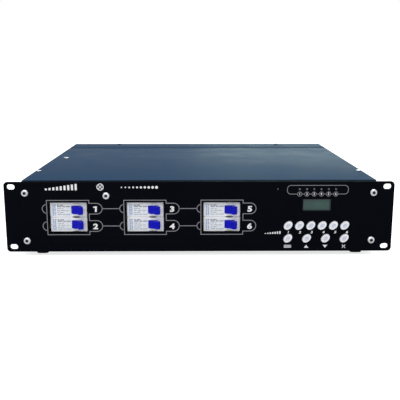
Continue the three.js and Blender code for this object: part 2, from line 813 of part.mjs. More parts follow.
// Breaker module with its nose at the origin, its length along X and its width along Z
function breakerBody() {
  const nose = noseLength / 2;
  const half = breakerLength / 2;
  const notch = railNotchWidth / 2;
  const chamfer = noseChamfer;
  const back = breakerBackChamfer;
  const side = [
    [-nose, chamfer], [chamfer - nose, 0], [nose - chamfer, 0], [nose, chamfer], [nose, noseDepth],
    [half, noseDepth], [half, breakerDepth - back], [half - back, breakerDepth], [notch, breakerDepth],
    [notch, breakerDepth - railNotchDepth], [-notch, breakerDepth - railNotchDepth], [-notch, breakerDepth],
    [back - half, breakerDepth], [-half, breakerDepth - back], [-half, noseDepth], [-nose, noseDepth],
  ].map(([x, y]) => new THREE.Vector2(x, y));
  const halfWidth = (moduleWidth - moduleGap) / 2;
  const body = prismZ(side, -halfWidth, halfWidth);

  const wellHalf = leverWidth / 2 + leverClearance;
  const wellFloor = leverPivotDepth + leverHubRadius + leverClearance;
  const wellReach = leverHubRadius + leverWellMargin;
  const wellLeft = leverPivotX - wellReach;
  const well = block(wellLeft, leverPivotX + wellReach, -cutOverrun, wellFloor, -wellHalf, wellHalf);
  const scoopRadius = (leverNotchChord ** 2 / 4 + leverNotchSagitta ** 2) / (2 * leverNotchSagitta);
  const scoopMiddle = halfWidth - leverNotchSagitta + scoopRadius;
  const scoops = [-scoopMiddle, scoopMiddle].map((z) =>
    prismY(circle(leverPivotX, z, scoopRadius, 3 * holeSides), -cutOverrun, leverNotchDepth));
  return cut(body, well, ...scoops);
}

// Lever about its pivot, pointing to the front: a round hub and a tapering handle
function breakerLever() {
  const root = leverRootThickness / 2;
  const tip = leverTipThickness / 2;
  const rootAngle = Math.acos(root / leverHubRadius);
  const hub = arc(0, 0, leverHubRadius, leverHubRadius, -rootAngle, Math.PI + rootAngle, roundSides);
  const outline = [
    ...hub,
    new THREE.Vector2(-tip, leverTipChamfer - leverLength),
    new THREE.Vector2(leverTipChamfer - tip, -leverLength),
    new THREE.Vector2(tip - leverTipChamfer, -leverLength),
    new THREE.Vector2(tip, leverTipChamfer - leverLength),
  ];
  return prismZ(outline, -leverWidth / 2, leverWidth / 2);
}

// Key: an oval cap with a dished face, a retaining flange behind the panel and a stem
function key() {
  const flangeFront = panelThickness + seatGap;
  const stemEnd = controlBoardFront - switchHeight - switchPlungerHeight - keyTravel - seatGap;
  const round = turned([
    [0, keyDishDepth - keyStandOut],
    [keyDishRadius * keyDishMiddleRadiusShare, keyDishDepth * keyDishMiddleDepthShare - keyStandOut],
    [keyDishRadius, keyDishEdgeDrop - keyStandOut],
    [keyLongRadius - keySideDrop, -keyStandOut],
    [keyLongRadius - keyRimInset, keyRimDrop - keyStandOut],
    [keyLongRadius, keySideDrop - keyStandOut],
    [keyLongRadius, flangeFront],
    [keyLongRadius + keyFlange, flangeFront],
    [keyLongRadius + keyFlange, flangeFront + keyFlangeThickness],
    [keyStemRadius, flangeFront + keyFlangeThickness],
    [keyStemRadius, stemEnd],
    [0, stemEnd],
  ], ovalSides);
  return solid(round.scale(1, 1, keyShortRadius / keyLongRadius).rotateY(-keySlant));
}

// Lamp dome on a round body, about +Y, from the panel's front back to a given depth
function lamp(x, bodyRadius, bodyFront, back) {
  const shoulder = lampRadius * lampShoulderShare;
  const dome = turned([
    [0, -lampStandOut],
    [shoulder, lampRadius - shoulder - lampStandOut],
    [lampRadius, lampRadius - lampStandOut],
    [lampRadius, bodyFront],
    [bodyRadius, bodyFront],
    [bodyRadius, back],
    [0, back],
  ], holeSides);
  return solid(dome.translate(x, 0, lampZ));
}

function channelLamps() {
  const back = controlBoardFront - seatGap;
  const half = ((upperKeyCount - 1) / 2) * channelLampPitch + lampHolderMargin;
  const holder = block(lampRowX - half, lampRowX + half, lampHolderFront, back, lampZ - lampHolderHeight / 2,
    lampZ + lampHolderHeight / 2);
  return join(holder, ...channelLampXs.map((x) => lamp(x, lampRadius, lampHolderFront, back - seatGap)));
}

// Display: a body behind the window, with the glass in front of it
function displayModule() {
  const halfX = displayWindowWidth / 2 + displayBodyMargin;
  const halfZ = displayWindowHeight / 2 + displayBodyMargin;
  return block(displayX - halfX, displayX + halfX, displayGlassFront, controlBoardFront - seatGap,
    displayZ - halfZ, displayZ + halfZ);
}

// Control board with the key switches and the processor
function controlBoard() {
  const back = controlBoardFront + boardThickness;
  const board = block(controlBoardLeft, controlBoardRight, controlBoardFront, back, boardLow, boardHigh);
  const switches = keyPlaces.flatMap(({ x, z }) => {
    const half = switchSize / 2;
    const plunger = switchPlungerSize / 2;
    const front = controlBoardFront - switchHeight;
    const plungerFront = front - switchPlungerHeight;
    return [
      block(x - half, x + half, front, controlBoardFront + boardThickness / 2, z - half, z + half),
      block(x - plunger, x + plunger, plungerFront, front + switchHeight / 2, z - plunger, z + plunger),
    ];
  });
  const chipZ = boardLow + chipRise;
  const chip = block(displayX - chipLength / 2, displayX + chipLength / 2, back - boardThickness / 2,
    back + chipThickness, chipZ - chipHeight / 2, chipZ + chipHeight / 2);
  return join(board, chip, ...switches);
}

// Bracket that carries the breakers: a plate, a folded foot and a rail behind each pair
function railBracket() {
  const left = windowCentres[0] - railFlangeWidth / 2 - bracketMargin;
  const right = windowCentres[breakerColumns - 1] + railFlangeWidth / 2 + bracketMargin;
  const bottom = trayFloor + seatGap;
  const top = trayTop - traySheet - bracketTopGap;
  const front = railBack - railSheet / 2;
  const plate = block(left, right, front, front + bracketSheet, bottom, top);
  const foldedFoot = block(left, right, front, railBack + bracketFootDepth, bottom, bottom + bracketSheet);
  const rails = windowCentres.map((x) => {
    const hat = railFlangeWidth / 2;
    const web = railWebWidth / 2;
    const section = [
      [-hat, railFront], [railSheet - web, railFront], [railSheet - web, railBack - railSheet],
      [web - railSheet, railBack - railSheet], [web - railSheet, railFront], [hat, railFront],
      [hat, railFront + railSheet], [web, railFront + railSheet], [web, railBack], [-web, railBack],
      [-web, railFront + railSheet], [-hat, railFront + railSheet],
    ].map(([dx, y]) => new THREE.Vector2(x + dx, y));
    return prismZ(section, bottom + bracketSheet, top);
  });
  return join(plate, foldedFoot, ...rails);
}

const powerBoardTop = trayFloor + powerBoardLift + boardThickness;
const chokeXs = listOf(chokeCount, (i) => chokeFirstX + i * chokePitch);

// Power board on six pillars, with thyristors at the heat sink, filter capacitors and a transformer
function powerBoard() {
  const board = block(powerBoardLeft, powerBoardRight, powerBoardFront, powerBoardBack,
    trayFloor + powerBoardLift, powerBoardTop);
  const middle = (powerBoardLeft + powerBoardRight) / 2;
  const pillarXs = [powerBoardLeft + powerPillarInset, middle, powerBoardRight - powerPillarInset];
  const pillars = pillarXs.flatMap((x) =>
    [powerBoardFront + powerPillarInset, powerBoardBack - powerPillarInset].map((y) =>
      prismZ(circle(x, y, powerPillarRadius), trayFloor + seatGap, powerBoardTop - boardThickness / 2)));
  const standing = powerBoardTop - boardThickness / 2;
  const thyristors = chokeXs.map((x) =>
    block(x - thyristorWidth / 2, x + thyristorWidth / 2, sinkBaseFront - seatGap - thyristorThickness,
      sinkBaseFront - seatGap, standing, powerBoardTop + thyristorHeight));
  const behindChokes = chokeRowY + chokeOuterRadius;
  const capacitors = chokeXs.map((x) =>
    block(x - capacitorWidth / 2, x + capacitorWidth / 2, behindChokes + capacitorGap,
      behindChokes + capacitorGap + capacitorDepth, standing, powerBoardTop + capacitorHeight));
  const transformer = block(transformerLeft, powerBoardRight, behindChokes + transformerGap,
    behindChokes + transformerGap + transformerDepth, standing, powerBoardTop + transformerHeight);
  return join(board, ...pillars, ...thyristors, ...capacitors, transformer);
}

// Toroidal suppression choke, lying flat
function choke() {
  const low = 0;
  const high = chokeThickness;
  const out = chokeOuterRadius;
  const bore = chokeBoreRadius;
  const round = chokeRounding;
  return solid(upright(turned([
    [bore, low + round], [bore + round, low], [out - round, low], [out, low + round],
    [out, high - round], [out - round, high], [bore + round, high], [bore, high - round], [bore, low + round],
  ], holeSides)));
}

// Heat sink: a standing base with level fins behind it
function heatSink() {
  const bottom = trayFloor + seatGap;
  const top = trayTop - traySheet - sinkTopGap;
  const baseBack = sinkBaseFront + sinkBaseThickness;
  const base = block(sinkLeft, sinkRight, sinkBaseFront, baseBack, bottom, top);
  const pitch = (top - bottom - sinkFinThickness) / (sinkFinCount - 1);
  const finBack = sinkBaseFront + sinkDepth;
  const fins = listOf(sinkFinCount, (i) => {
    const z = bottom + i * pitch;
    return block(sinkLeft, sinkRight, baseBack - cutOverrun, finBack, z, z + sinkFinThickness);
  });
  return join(base, ...fins);
}

// Fan frame about the X axis at the origin, its outer face at X = 0 and its depth towards -X
function fanFrame() {
  const half = fanSize / 2;
  const screwHalf = fanScrewSpacing / 2;
  const corners = [-screwHalf, screwHalf].flatMap((y) => [-screwHalf, screwHalf].map((z) =>
    circle(y, z, fanScrewHoleRadius, smallSides)));
  const shell = prismX(rectangle(-half, -half, half, half), -fanDepth, 0,
    [circle(0, 0, fanBoreRadius, 2 * roundSides), ...corners]);
  const base = prismX(circle(0, 0, fanHubRadius), -fanDepth, fanBaseThickness - fanDepth);
  const pin = prismX(circle(0, 0, fanPinRadius), -fanDepth, fanBaseThickness + fanPinLength - fanDepth);
  const struts = listOf(fanStrutCount, (i) => {
    const strut = blockGeometry(-fanDepth, fanBaseThickness - fanDepth, fanHubRadius - cutOverrun,
      fanBoreRadius + cutOverrun, -fanStrutWidth / 2, fanStrutWidth / 2);
    return solid(strut.rotateX(Math.PI / 4 + (i * 2 * Math.PI) / fanStrutCount));
  });
  return join(shell, base, pin, ...struts);
}

// Fan rotor in the frame's own axes: a hub with a bore for the frame's pin, and pitched blades
function fanRotor() {
  const back = fanBaseThickness + seatGap - fanDepth;
  const front = back + fanHubLength;
  const hub = prismX(circle(0, 0, fanHubRadius, roundSides), back, front);
  const bore = prismX(circle(0, 0, fanPinRadius + seatGap), back - cutOverrun, back + fanPinLength + seatGap);
  const middle = (back + front) / 2;
  const blades = listOf(fanBladeCount, (i) => {
    const blade = blockGeometry(-fanBladeChord / 2, fanBladeChord / 2, fanHubRadius - cutOverrun,
      fanBladeRadius + cutOverrun, -fanBladeThickness / 2, fanBladeThickness / 2);
    blade.rotateY(fanBladePitch).translate(middle, 0, 0);
    return solid(blade.rotateX((i * 2 * Math.PI) / fanBladeCount));
  });
  const swept = prismX(circle(0, 0, fanBladeRadius, 2 * roundSides), back, front);
  return cut(join(hub, ...blades).intersect(swept), bore);
}

// Five-pole terminal block: a stepped bar with a wall between the poles
function terminalBlock() {
  const width = terminalCount * terminalPitch + terminalWall;
  const left = glandX - width / 2;
  const bottom = trayFloor + seatGap;
  const section = [
    [terminalFront, bottom], [terminalFront + terminalDepth, bottom],
    [terminalFront + terminalDepth, bottom + terminalStepHeight],
    [terminalFront + terminalStepDepth, bottom + terminalStepHeight],
    [terminalFront + terminalStepDepth, bottom + terminalHeight - terminalWall],
    [terminalFront, bottom + terminalHeight - terminalWall],
  ].map(([y, z]) => new THREE.Vector2(y, z));
  const bar = prismX(section, left, left + width);
  const back = terminalFront + terminalDepth;
  const walls = listOf(terminalCount + 1, (i) => {
    const x = left + i * terminalPitch;
    return block(x, x + terminalWall, terminalFront, back, bottom, bottom + terminalHeight);
  });
  return join(bar, ...walls);
}

// Cable gland through the rear panel: lock nut inside, hexagon and domed cap outside, open bore
function gland() {
  const inside = rearPanelFront - seatGap - glandNutThickness;
  const hexEnd = rearSeat + glandHexThickness;
  const capFront = hexEnd + glandNeckLength;
  const capEnd = capFront + glandCapLength;
  const mouth = capEnd + glandDomeLength;
  const nut = prismY(polygonAcrossFlats(0, 0, glandNutAcrossFlats), inside, rearPanelFront - seatGap);
  const hex = prismY(polygonAcrossFlats(0, 0, glandHexAcrossFlats), rearSeat, hexEnd);
  const capHex = prismY(polygonAcrossFlats(0, 0, glandHexAcrossFlats), capFront, capEnd);
  const core = solid(turned([
    [0, inside], [glandThreadRadius, inside], [glandThreadRadius, rearSeat], [glandNeckRadius, rearSeat],
    [glandNeckRadius, capEnd + glandDomeLength / 2], [glandMouthRadius, mouth], [0, mouth],
  ]));
  const bore = prismY(circle(0, 0, glandBoreRadius, roundSides), inside - cutOverrun, mouth + cutOverrun);
  return cut(join(nut, hex, capHex, core), bore);
}

const loadRim = rearSeat + loadHousingDepth;
const loadPivotY = rearSeat + loadPinRise;
const loadArmInside = loadHousingLength / 2 + loadPinClearance;

// Housing of the load connector: a flanged frame with a pivot pin on each end
function loadHousing() {
  const halfX = loadHousingLength / 2;
  const halfZ = loadHousingHeight / 2;
  const innerX = halfX - loadHousingWall;
  const innerZ = halfZ - loadHousingWall;
  const cavity = [rectangle(-innerX, -innerZ, innerX, innerZ)];
  const flange = prismY(rectangle(-loadFlangeLength / 2, -loadFlangeHeight / 2, loadFlangeLength / 2,
    loadFlangeHeight / 2), rearSeat, rearSeat + loadFlangeThickness, cavity);
  const frame = prismY(rectangle(-halfX, -halfZ, halfX, halfZ), rearSeat, loadRim, cavity);
  const pins = [-1, 1].map((side) => {
    const ends = [side * (halfX - loadHousingWall / 2), side * (halfX + loadPinLength)];
    return prismX(circle(loadPivotY, 0, loadPinRadius), Math.min(...ends), Math.max(...ends));
  });
  return join(flange, frame, ...pins);
}

// Insert with its contact holes
function loadInsert() {
  const halfX = loadHousingLength / 2 - loadHousingWall - loadInsertClearance;
  const halfZ = loadHousingHeight / 2 - loadHousingWall - loadInsertClearance;
  const face = loadRim - loadInsertRecess;
  const body = block(-halfX, halfX, rearPanelFront - loadInsertBehind, face, -halfZ, halfZ);
  const contacts = listOf(loadContactRows * loadContactColumns, (i) => {
    const column = i % loadContactColumns;
    const row = Math.floor(i / loadContactColumns);
    const x = (column - (loadContactColumns - 1) / 2) * loadContactPitchX;
    const z = (row - (loadContactRows - 1) / 2) * loadContactPitchZ;
    return prismY(circle(x, z, loadContactRadius, smallSides), face - loadContactDepth, face + cutOverrun);
  });
  return cut(body, ...contacts);
}

// Locking lever of the load connector, hanging from its pins: two arms and a strap across
function loadLever() {
  const eye = loadLeverEyeRadius;
  const bottom = -loadLeverReach - loadLeverSheet;
  const half = loadLeverStrapWidth / 2;
  const arms = [-1, 1].map((side) => {
    const ends = [side * loadArmInside, side * (loadArmInside + loadLeverSheet)];
    const outline = [
      ...arc(0, 0, eye, eye, 0, Math.PI, 2 * cornerSteps),
      new THREE.Vector2(-half, bottom),
      new THREE.Vector2(half, bottom),
    ];
    const hole = circle(0, 0, loadPinRadius + loadPinClearance);
    return prismX(outline, Math.min(...ends), Math.max(...ends), [hole]);
  });
  const reach = loadArmInside + loadLeverSheet;
  const strap = block(-reach, reach, -half, half, bottom, -loadLeverReach);
  return join(...arms, strap);
}

// A panel socket's flange and barrel, with the mouth at the flange's face
function signalShell() {
  const face = rearSeat + signalFlangeThickness;
  const halfX = signalFlangeWidth / 2;
  const halfZ = signalFlangeHeight / 2;
  const outline = roundedRectangle(-halfX, -halfZ, halfX, halfZ, signalFlangeCorner, 2);
  const flange = prismY(outline, rearSeat, face);
  const barrel = prismY(circle(0, 0, signalBarrelRadius, roundSides), face - signalBarrelLength, face);
  return { face, body: join(flange, barrel) };
}

const signalPins = listOf(signalPinCount, (i) => {
  const angle = Math.PI / 6 + (i * 2 * Math.PI) / signalPinCount;
  return [signalPinCircle * Math.cos(angle), signalPinCircle * Math.sin(angle)];
});

// Signal input: an open cup with three pins
function signalIn() {
  const { face, body } = signalShell();
  const floor = face - signalBoreDepth;
  const bore = prismY(circle(0, 0, signalBoreRadius, roundSides), floor, face + cutOverrun);
  const pins = signalPins.map(([x, z]) =>
    prismY(circle(x, z, signalPinRadius, smallSides), floor - cutOverrun, face - signalPinRecess));
  return join(cut(body, bore), ...pins);
}

// Signal output: a cup round a core with three holes, and a slot for the latch
function signalOut() {
  const { face, body } = signalShell();
  const floor = face - signalBoreDepth;
  const ring = prismY(circle(0, 0, signalBoreRadius, roundSides), floor, face + cutOverrun,
    [circle(0, 0, signalCoreRadius, roundSides)]);
  const holes = signalPins.map(([x, z]) =>
    prismY(circle(x, z, signalHoleRadius, smallSides), face - signalHoleDepth, face + cutOverrun));
  const half = latchWidth / 2 + latchClearance;
  const slot = block(-half, half, face - latchLength - latchClearance, face + cutOverrun,
    signalCoreRadius + latchClearance, signalBarrelRadius + cutOverrun);
  return cut(body, ring, ...holes, slot);
}

// The latch stands above the core, with room below it for its travel
const latchBottomAtRest = signalCoreRadius + 2 * latchClearance + latchTravel;
const latchTopAtRest = latchBottomAtRest + latchHeight;

function signalLatch() {
  const face = rearSeat + signalFlangeThickness;
  const half = latchWidth / 2;
  return block(-half, half, face - latchLength, face + latchStandOut, latchBottomAtRest, latchTopAtRest);
}

// The assembly

piece("front_panel", frontPanel(), materials.panelBlack);
piece("chassis_tray", tray(), materials.caseBlue);
const sideScrewX = caseWidth / 2 - coverScrewSideInset;
const rearScrewX = caseWidth / 2 - rearScrewInsetX;
const frontScrews = [-sideScrewX, sideScrewX].map((x) => panHead(x, coverScrewFrontY, coverScrewRadius));
const earthScrew = panHead(earthScrewSideInset - caseWidth / 2, earthScrewY, earthScrewRadius);
const rearScrews = [-rearScrewX, rearScrewX].map((x) =>
  panHead(x, caseDepth - rearScrewInsetY, coverScrewRadius));
const topCover = cover(coverFront, wiringCoverFront - coverSeam, [...frontScrews, earthScrew]);
piece("top_cover", topCover, materials.caseBlue);
piece("wiring_cover", cover(wiringCoverFront, caseDepth, rearScrews), materials.caseBlue);
piece("rear_panel", rearPanel(), materials.panelBlack);
piece("divider_wall", divider(), materials.steel);

const screwBody = panelScrew();
screwPlaces.forEach(([x, z], i) => {
  piece(`panel_screw_${i + 1}`, screwBody, materials.steel).position.set(x, -seatGap, z);
});

const footBody = foot();
footPlaces.forEach(([x, y], i) => {
  piece(`foot_${i + 1}`, footBody, materials.rubber).position.set(x, y, 0);
});

const moduleBody = breakerBody();
const leverBody = breakerLever();
breakerPlaces.forEach(({ x, z }, i) => {
  const breaker = new THREE.Group();
  breaker.position.set(x, noseRecess, z);
  unit.add(breaker);
  piece(`breaker_${i + 1}`, moduleBody, materials.breakerWhite, breaker);
  const lever = piece(`breaker_lever_${i + 1}`, leverBody, materials.leverBlue, breaker);
  lever.position.set(leverPivotX, leverPivotDepth, 0);
  lever.rotation.z = leverLean;
});
piece("rail_bracket", railBracket(), materials.steel);

const keyBody = key();
keyPlaces.forEach(({ name, x, z }) => {
  piece(name, keyBody, materials.keyWhite).position.set(x, 0, z);
});
piece("channel_lamps", channelLamps(), materials.lampClear);
piece("status_lamp", lamp(statusLampX, statusLampBodyRadius, lampHolderFront, controlBoardFront - seatGap),
  materials.lampRed);
piece("display_module", displayModule(), materials.displayGreen);
piece("control_board", controlBoard(), materials.boardGreen);

piece("power_board", powerBoard(), materials.boardGreen);
const chokeBody = choke();
chokeXs.forEach((x, i) => {
  piece(`choke_${i + 1}`, chokeBody, materials.copper).position.set(x, chokeRowY, powerBoardTop + seatGap);
});
piece("heat_sink", heatSink(), materials.aluminium);

const fan = new THREE.Group();
fan.position.set(trayInside - seatGap, fanY, fanZ);
unit.add(fan);
piece("fan_frame", fanFrame(), materials.blackPlastic, fan);
piece("fan_rotor", fanRotor(), materials.blackPlastic, fan);

piece("supply_terminals", terminalBlock(), materials.greyPlastic);
piece("supply_gland", gland(), materials.blackPlastic).position.set(glandX, 0, glandHeight);
piece("load_connector_housing", loadHousing(), materials.aluminium).position.set(loadX, 0, loadHeight);
piece("load_connector_insert", loadInsert(), materials.greyPlastic).position.set(loadX, 0, loadHeight);
piece("load_connector_lever", loadLever(), materials.steel).position.set(loadX, loadPivotY, loadHeight);
piece("signal_in_socket", signalIn(), materials.blackPlastic).position.set(signalInX, 0, signalHeight);
piece("signal_out_socket", signalOut(), materials.blackPlastic).position.set(signalOutX, 0, signalHeight);
piece("signal_out_latch", signalLatch(), materials.steel).position.set(signalOutX, 0, signalHeight);

// The part's origin is below the middle of its own box, on the surface that it stands on
const reach = new THREE.Box3().setFromObject(unit, true);
unit.position.y = -(reach.min.y + reach.max.y) / 2;

const dimmerPack = new THREE.Group();
dimmerPack.add(unit);

export default dimmerPack;
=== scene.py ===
"""Looks of a rack dimmer pack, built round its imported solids. All lengths are metres."""

import json
import math

import bmesh
import bpy
from mathutils import Matrix, Vector


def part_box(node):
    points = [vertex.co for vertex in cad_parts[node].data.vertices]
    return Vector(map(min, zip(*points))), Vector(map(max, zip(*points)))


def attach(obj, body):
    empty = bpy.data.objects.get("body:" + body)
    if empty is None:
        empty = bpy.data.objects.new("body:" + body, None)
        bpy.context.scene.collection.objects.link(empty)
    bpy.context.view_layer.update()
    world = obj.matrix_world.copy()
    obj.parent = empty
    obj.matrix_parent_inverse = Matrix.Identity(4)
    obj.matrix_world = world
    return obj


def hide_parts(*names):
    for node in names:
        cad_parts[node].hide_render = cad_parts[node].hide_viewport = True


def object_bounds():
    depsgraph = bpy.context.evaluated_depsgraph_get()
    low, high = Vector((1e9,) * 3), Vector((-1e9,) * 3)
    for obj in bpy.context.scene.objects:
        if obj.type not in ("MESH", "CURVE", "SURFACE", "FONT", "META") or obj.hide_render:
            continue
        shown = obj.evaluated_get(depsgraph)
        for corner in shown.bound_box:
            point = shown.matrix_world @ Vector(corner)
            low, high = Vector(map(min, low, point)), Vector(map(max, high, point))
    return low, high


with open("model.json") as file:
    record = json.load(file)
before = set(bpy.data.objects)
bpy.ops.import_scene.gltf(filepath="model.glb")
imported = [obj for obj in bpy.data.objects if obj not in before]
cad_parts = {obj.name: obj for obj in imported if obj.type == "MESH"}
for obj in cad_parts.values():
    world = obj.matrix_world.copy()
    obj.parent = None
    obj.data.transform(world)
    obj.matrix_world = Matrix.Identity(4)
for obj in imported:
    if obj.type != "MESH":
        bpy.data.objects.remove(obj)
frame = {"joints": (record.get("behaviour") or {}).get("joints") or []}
cad_low, cad_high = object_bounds()
scene = bpy.context.scene


def middle(node):
    """Middle of a CAD node's box."""
    low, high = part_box(node)
    return (low + high) / 2


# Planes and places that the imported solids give
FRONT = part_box("front_panel")[0].y
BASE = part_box("front_panel")[0].z
PANEL_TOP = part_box("front_panel")[1].z
COVER_SCREW = 0.0015  # The cover's solid holds its screw heads, which stand up by this much.
COVER_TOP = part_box("top_cover")[1].z - COVER_SCREW
COVER_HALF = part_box("top_cover")[1].x
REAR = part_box("rear_panel")[1].y
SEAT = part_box("load_connector_housing")[0].y
PIVOTS = {joint["child"]: Vector(joint["pos_m"]) for joint in frame["joints"] if "pos_m" in joint}

CHANNELS = range(1, 7)
CHANNEL_KEYS = [f"channel_button_{i}" for i in CHANNELS]
MENU_KEYS = ["menu_button", "up_button", "down_button", "escape_button"]
PANEL_SCREWS = [middle(f"panel_screw_{i}") for i in range(1, 6)]

# Outlines in the plane of a sheet


def arc(cx, cy, radius, start, end, steps):
    """Points of an arc between two angles in degrees, ends included."""
    angles = (math.radians(start + (end - start) * i / steps) for i in range(steps + 1))
    return [(cx + radius * math.cos(angle), cy + radius * math.sin(angle)) for angle in angles]


def circle(cx, cy, radius, steps=48):
    return arc(cx, cy, radius, 0, 360, steps)[:-1]


def rectangle(x0, y0, x1, y1):
    return [(x0, y0), (x1, y0), (x1, y1), (x0, y1)]


def rounded(x0, y0, x1, y1, radius, steps=6):
    """Rectangle with round corners."""
    corners = [(x1 - radius, y1 - radius), (x0 + radius, y1 - radius), (x0 + radius, y0 + radius),
               (x1 - radius, y0 + radius)]
    return [point for i, (x, y) in enumerate(corners)
            for point in arc(x, y, radius, 90 * i, 90 * i + 90, steps)]


def rounded_at(x, y, half_x, half_y, radius):
    """The same, about its middle."""
    return rounded(x - half_x, y - half_y, x + half_x, y + half_y, radius)


def rounded_face(low, high, radius):
    """The same, round a box seen from the front."""
    return rounded(low.x, low.z, high.x, high.z, radius)


def slot(cx, cy, length, height, steps=12, upright=False):
    """Outline with round ends."""
    reach = (length - height) / 2
    flat = [*arc(reach, 0, height / 2, -90, 90, steps), *arc(-reach, 0, height / 2, 90, 270, steps)]
    return [(cx - y, cy + x) if upright else (cx + x, cy + y) for x, y in flat]


def turned(u, v, slant):
    """A point turned about the origin."""
    return u * math.cos(slant) - v * math.sin(slant), u * math.sin(slant) + v * math.cos(slant)


def mirrored(points, x=0):
    """A row of points and, going back, its mirror image about an upright line."""
    return [*points, *((2 * x - u, v) for u, v in reversed(points))]


def oval(cx, cy, long_radius, short_radius, slant, steps=72):
    """Slanted ellipse."""
    points = (turned(long_radius * u, short_radius * v, slant) for u, v in circle(0, 0, 1, steps))
    return [(cx + u, cy + v) for u, v in points]


def bent(points, radius, steps=5):
    """A line of points with each inner corner rounded to a bend."""
    made = [points[0]]
    for before, corner, after in zip(points, points[1:], points[2:]):
        corner = Vector(corner)
        back = (Vector(before) - corner).normalized()
        on = (Vector(after) - corner).normalized()
        half = back.angle(on) / 2
        reach = radius / math.tan(half)
        centre = corner + (back + on).normalized() * radius / math.sin(half)
        start = corner + back * reach - centre
        sweep = start.angle_signed(corner + on * reach - centre)
        for i in range(steps + 1):
            turn = Matrix.Rotation(-sweep * i / steps, 2)
            made.append(tuple(centre + turn @ start))
    return [*made, points[-1]]


def sheet_section(points, thickness, radius):
    """Outline of a folded sheet that has these points on its outer side and bends round them."""
    outer = bent(points, radius)
    inner = []
    for i, point in enumerate(outer):
        before = Vector(outer[max(i - 1, 0)])
        after = Vector(outer[min(i + 1, len(outer) - 1)])
        along = (after - before).normalized()
        inner.append((point[0] + along.y * thickness, point[1] - along.x * thickness))
    return [*outer, *reversed(inner)]


# Meshes in world places


def linked(name, data):
    """A new object in the scene."""
    made = bpy.data.objects.new(name, data)
    scene.collection.objects.link(made)
    return made


def placed(axis, u, v, w):
    """A point given in the plane across an axis and along it."""
    return {"x": (w, u, v), "y": (u, w, v), "z": (u, v, w)}[axis]


def plate(outline, start, end, axis="y", holes=(), bevel=0.0003, steps=2):
    """A closed plate between two planes across an axis, with holes and rounded edges."""
    curve = bpy.data.curves.new("outline", "CURVE")
    curve.dimensions = "2D"
    curve.fill_mode = "BOTH"
    curve.extrude = (end - start) / 2 - bevel
    curve.bevel_depth = bevel
    curve.bevel_resolution = steps
    curve.offset = -bevel
    for points in [outline, *holes]:
        spline = curve.splines.new("POLY")
        spline.points.add(len(points) - 1)
        for point, (u, v) in zip(spline.points, points):
            point.co = (u, v, 0, 1)
        spline.use_cyclic_u = True
    return mesh_of(curve, lambda co: placed(axis, co.x, co.y, co.z + (start + end) / 2))


def mesh_of(curve, place):
    """The closed mesh of a curve or text, with each point put in its place."""
    holder = linked("outline", curve)
    evaluated = holder.evaluated_get(bpy.context.evaluated_depsgraph_get())
    mesh = bpy.data.meshes.new_from_object(evaluated)
    bpy.data.objects.remove(holder)
    made = bmesh.new()
    made.from_mesh(mesh)
    bpy.data.meshes.remove(mesh)
    for vertex in made.verts:
        vertex.co = place(vertex.co.copy())
    return tidied(made)


def tidied(made):
    """Merges doubled points and turns the faces outwards."""
    bmesh.ops.remove_doubles(made, verts=made.verts, dist=1e-7)
    bmesh.ops.recalc_face_normals(made, faces=made.faces)
    return made


def block(low, high, bevel=0.0004, steps=2):
    """A box with rounded edges between two corners."""
    outline = rectangle(low[0], low[1], high[0], high[1])
    return plate(outline, low[2], high[2], "z", bevel=bevel, steps=steps)


def hexagon(angle):
    """Factor that turns a ring into a hexagon, with the ring's radius as half its width across flats."""
    sector = math.pi / 3
    return 1 / math.cos((angle % sector) - sector / 2)


def cross(angle):
    """Factor that turns a ring into a cross-shaped recess."""
    return 0.36 + 0.64 * abs(math.cos(2 * angle)) ** 3


def band(made, *rows, closed=True):
    """Faces between each row of points and the next, where a row of one point is the tip of a cone."""
    for first, second in zip(rows, rows[1:]):
        count = max(len(first), len(second))
        for i in range(count if closed and count > 1 else count - 1):
            j = (i + 1) % count
            corners = [first[i % len(first)], first[j % len(first)],
                       second[j % len(second)], second[i % len(second)]]
            made.faces.new(list(dict.fromkeys(corners)))


def lathe(profile, origin, direction="y", steps=48, place=lambda u, v: (u, v)):
    """A turned body from points (radius, height) or (radius, height, shape) along an axis."""
    made = bmesh.new()
    rings = []
    for radius, height, *shape in profile:
        ring = []
        for i in range(steps if radius else 1):
            angle = 2 * math.pi * i / steps
            reach = radius * shape[0](angle) if shape else radius
            u, v = place(reach * math.cos(angle), reach * math.sin(angle))
            ring.append(made.verts.new(Vector(origin) + Vector(placed(direction, u, v, height))))
        rings.append(ring)
    if profile[0][0] > 0:
        rings.append(rings[0])
    band(made, *rings)
    return tidied(made)


def sleeve(inner, outer, start, end):
    """Profile of a plain ring or disc."""
    return [(inner, start), (outer, start), (outer, end), (inner, end)]


PRINT_LIFT = 0.00005


def ribbon(points, width, closed=True):
    """Printed line on the panel's face that follows points in X and Z."""
    points = [Vector(point) for point in points]
    sides = [(after - here).normalized().orthogonal()
             for here, after in zip(points, [*points[1:], points[0]])]
    if not closed:
        sides[-1] = sides[-2]
    made = bmesh.new()
    rows = []
    for i, (here, side) in enumerate(zip(points, sides)):
        before = sides[i - 1] if closed or i else side
        edge = (before + side).normalized()
        edge *= width / 2 / max(edge.dot(before), 0.5)
        rows.append([made.verts.new((here.x + u.x, FRONT + lift * PRINT_LIFT, here.y + u.y))
                     for u, lift in ((edge, -1), (-edge, -1), (-edge, 1), (edge, 1))])
    if closed:
        rows.append(rows[0])
    else:
        made.faces.new(rows[0])
        made.faces.new(rows[-1])
    band(made, *rows)
    return tidied(made)


def stroke(start, end, width):
    """Straight printed line between two places."""
    return ribbon([start, end], width, closed=False)


def ink(outline, y=FRONT, lift=PRINT_LIFT):
    """Printed patch with an outline in X and Z, on the panel's face or another plane."""
    return plate(outline, y - lift, y + lift, bevel=0.00001, steps=0)


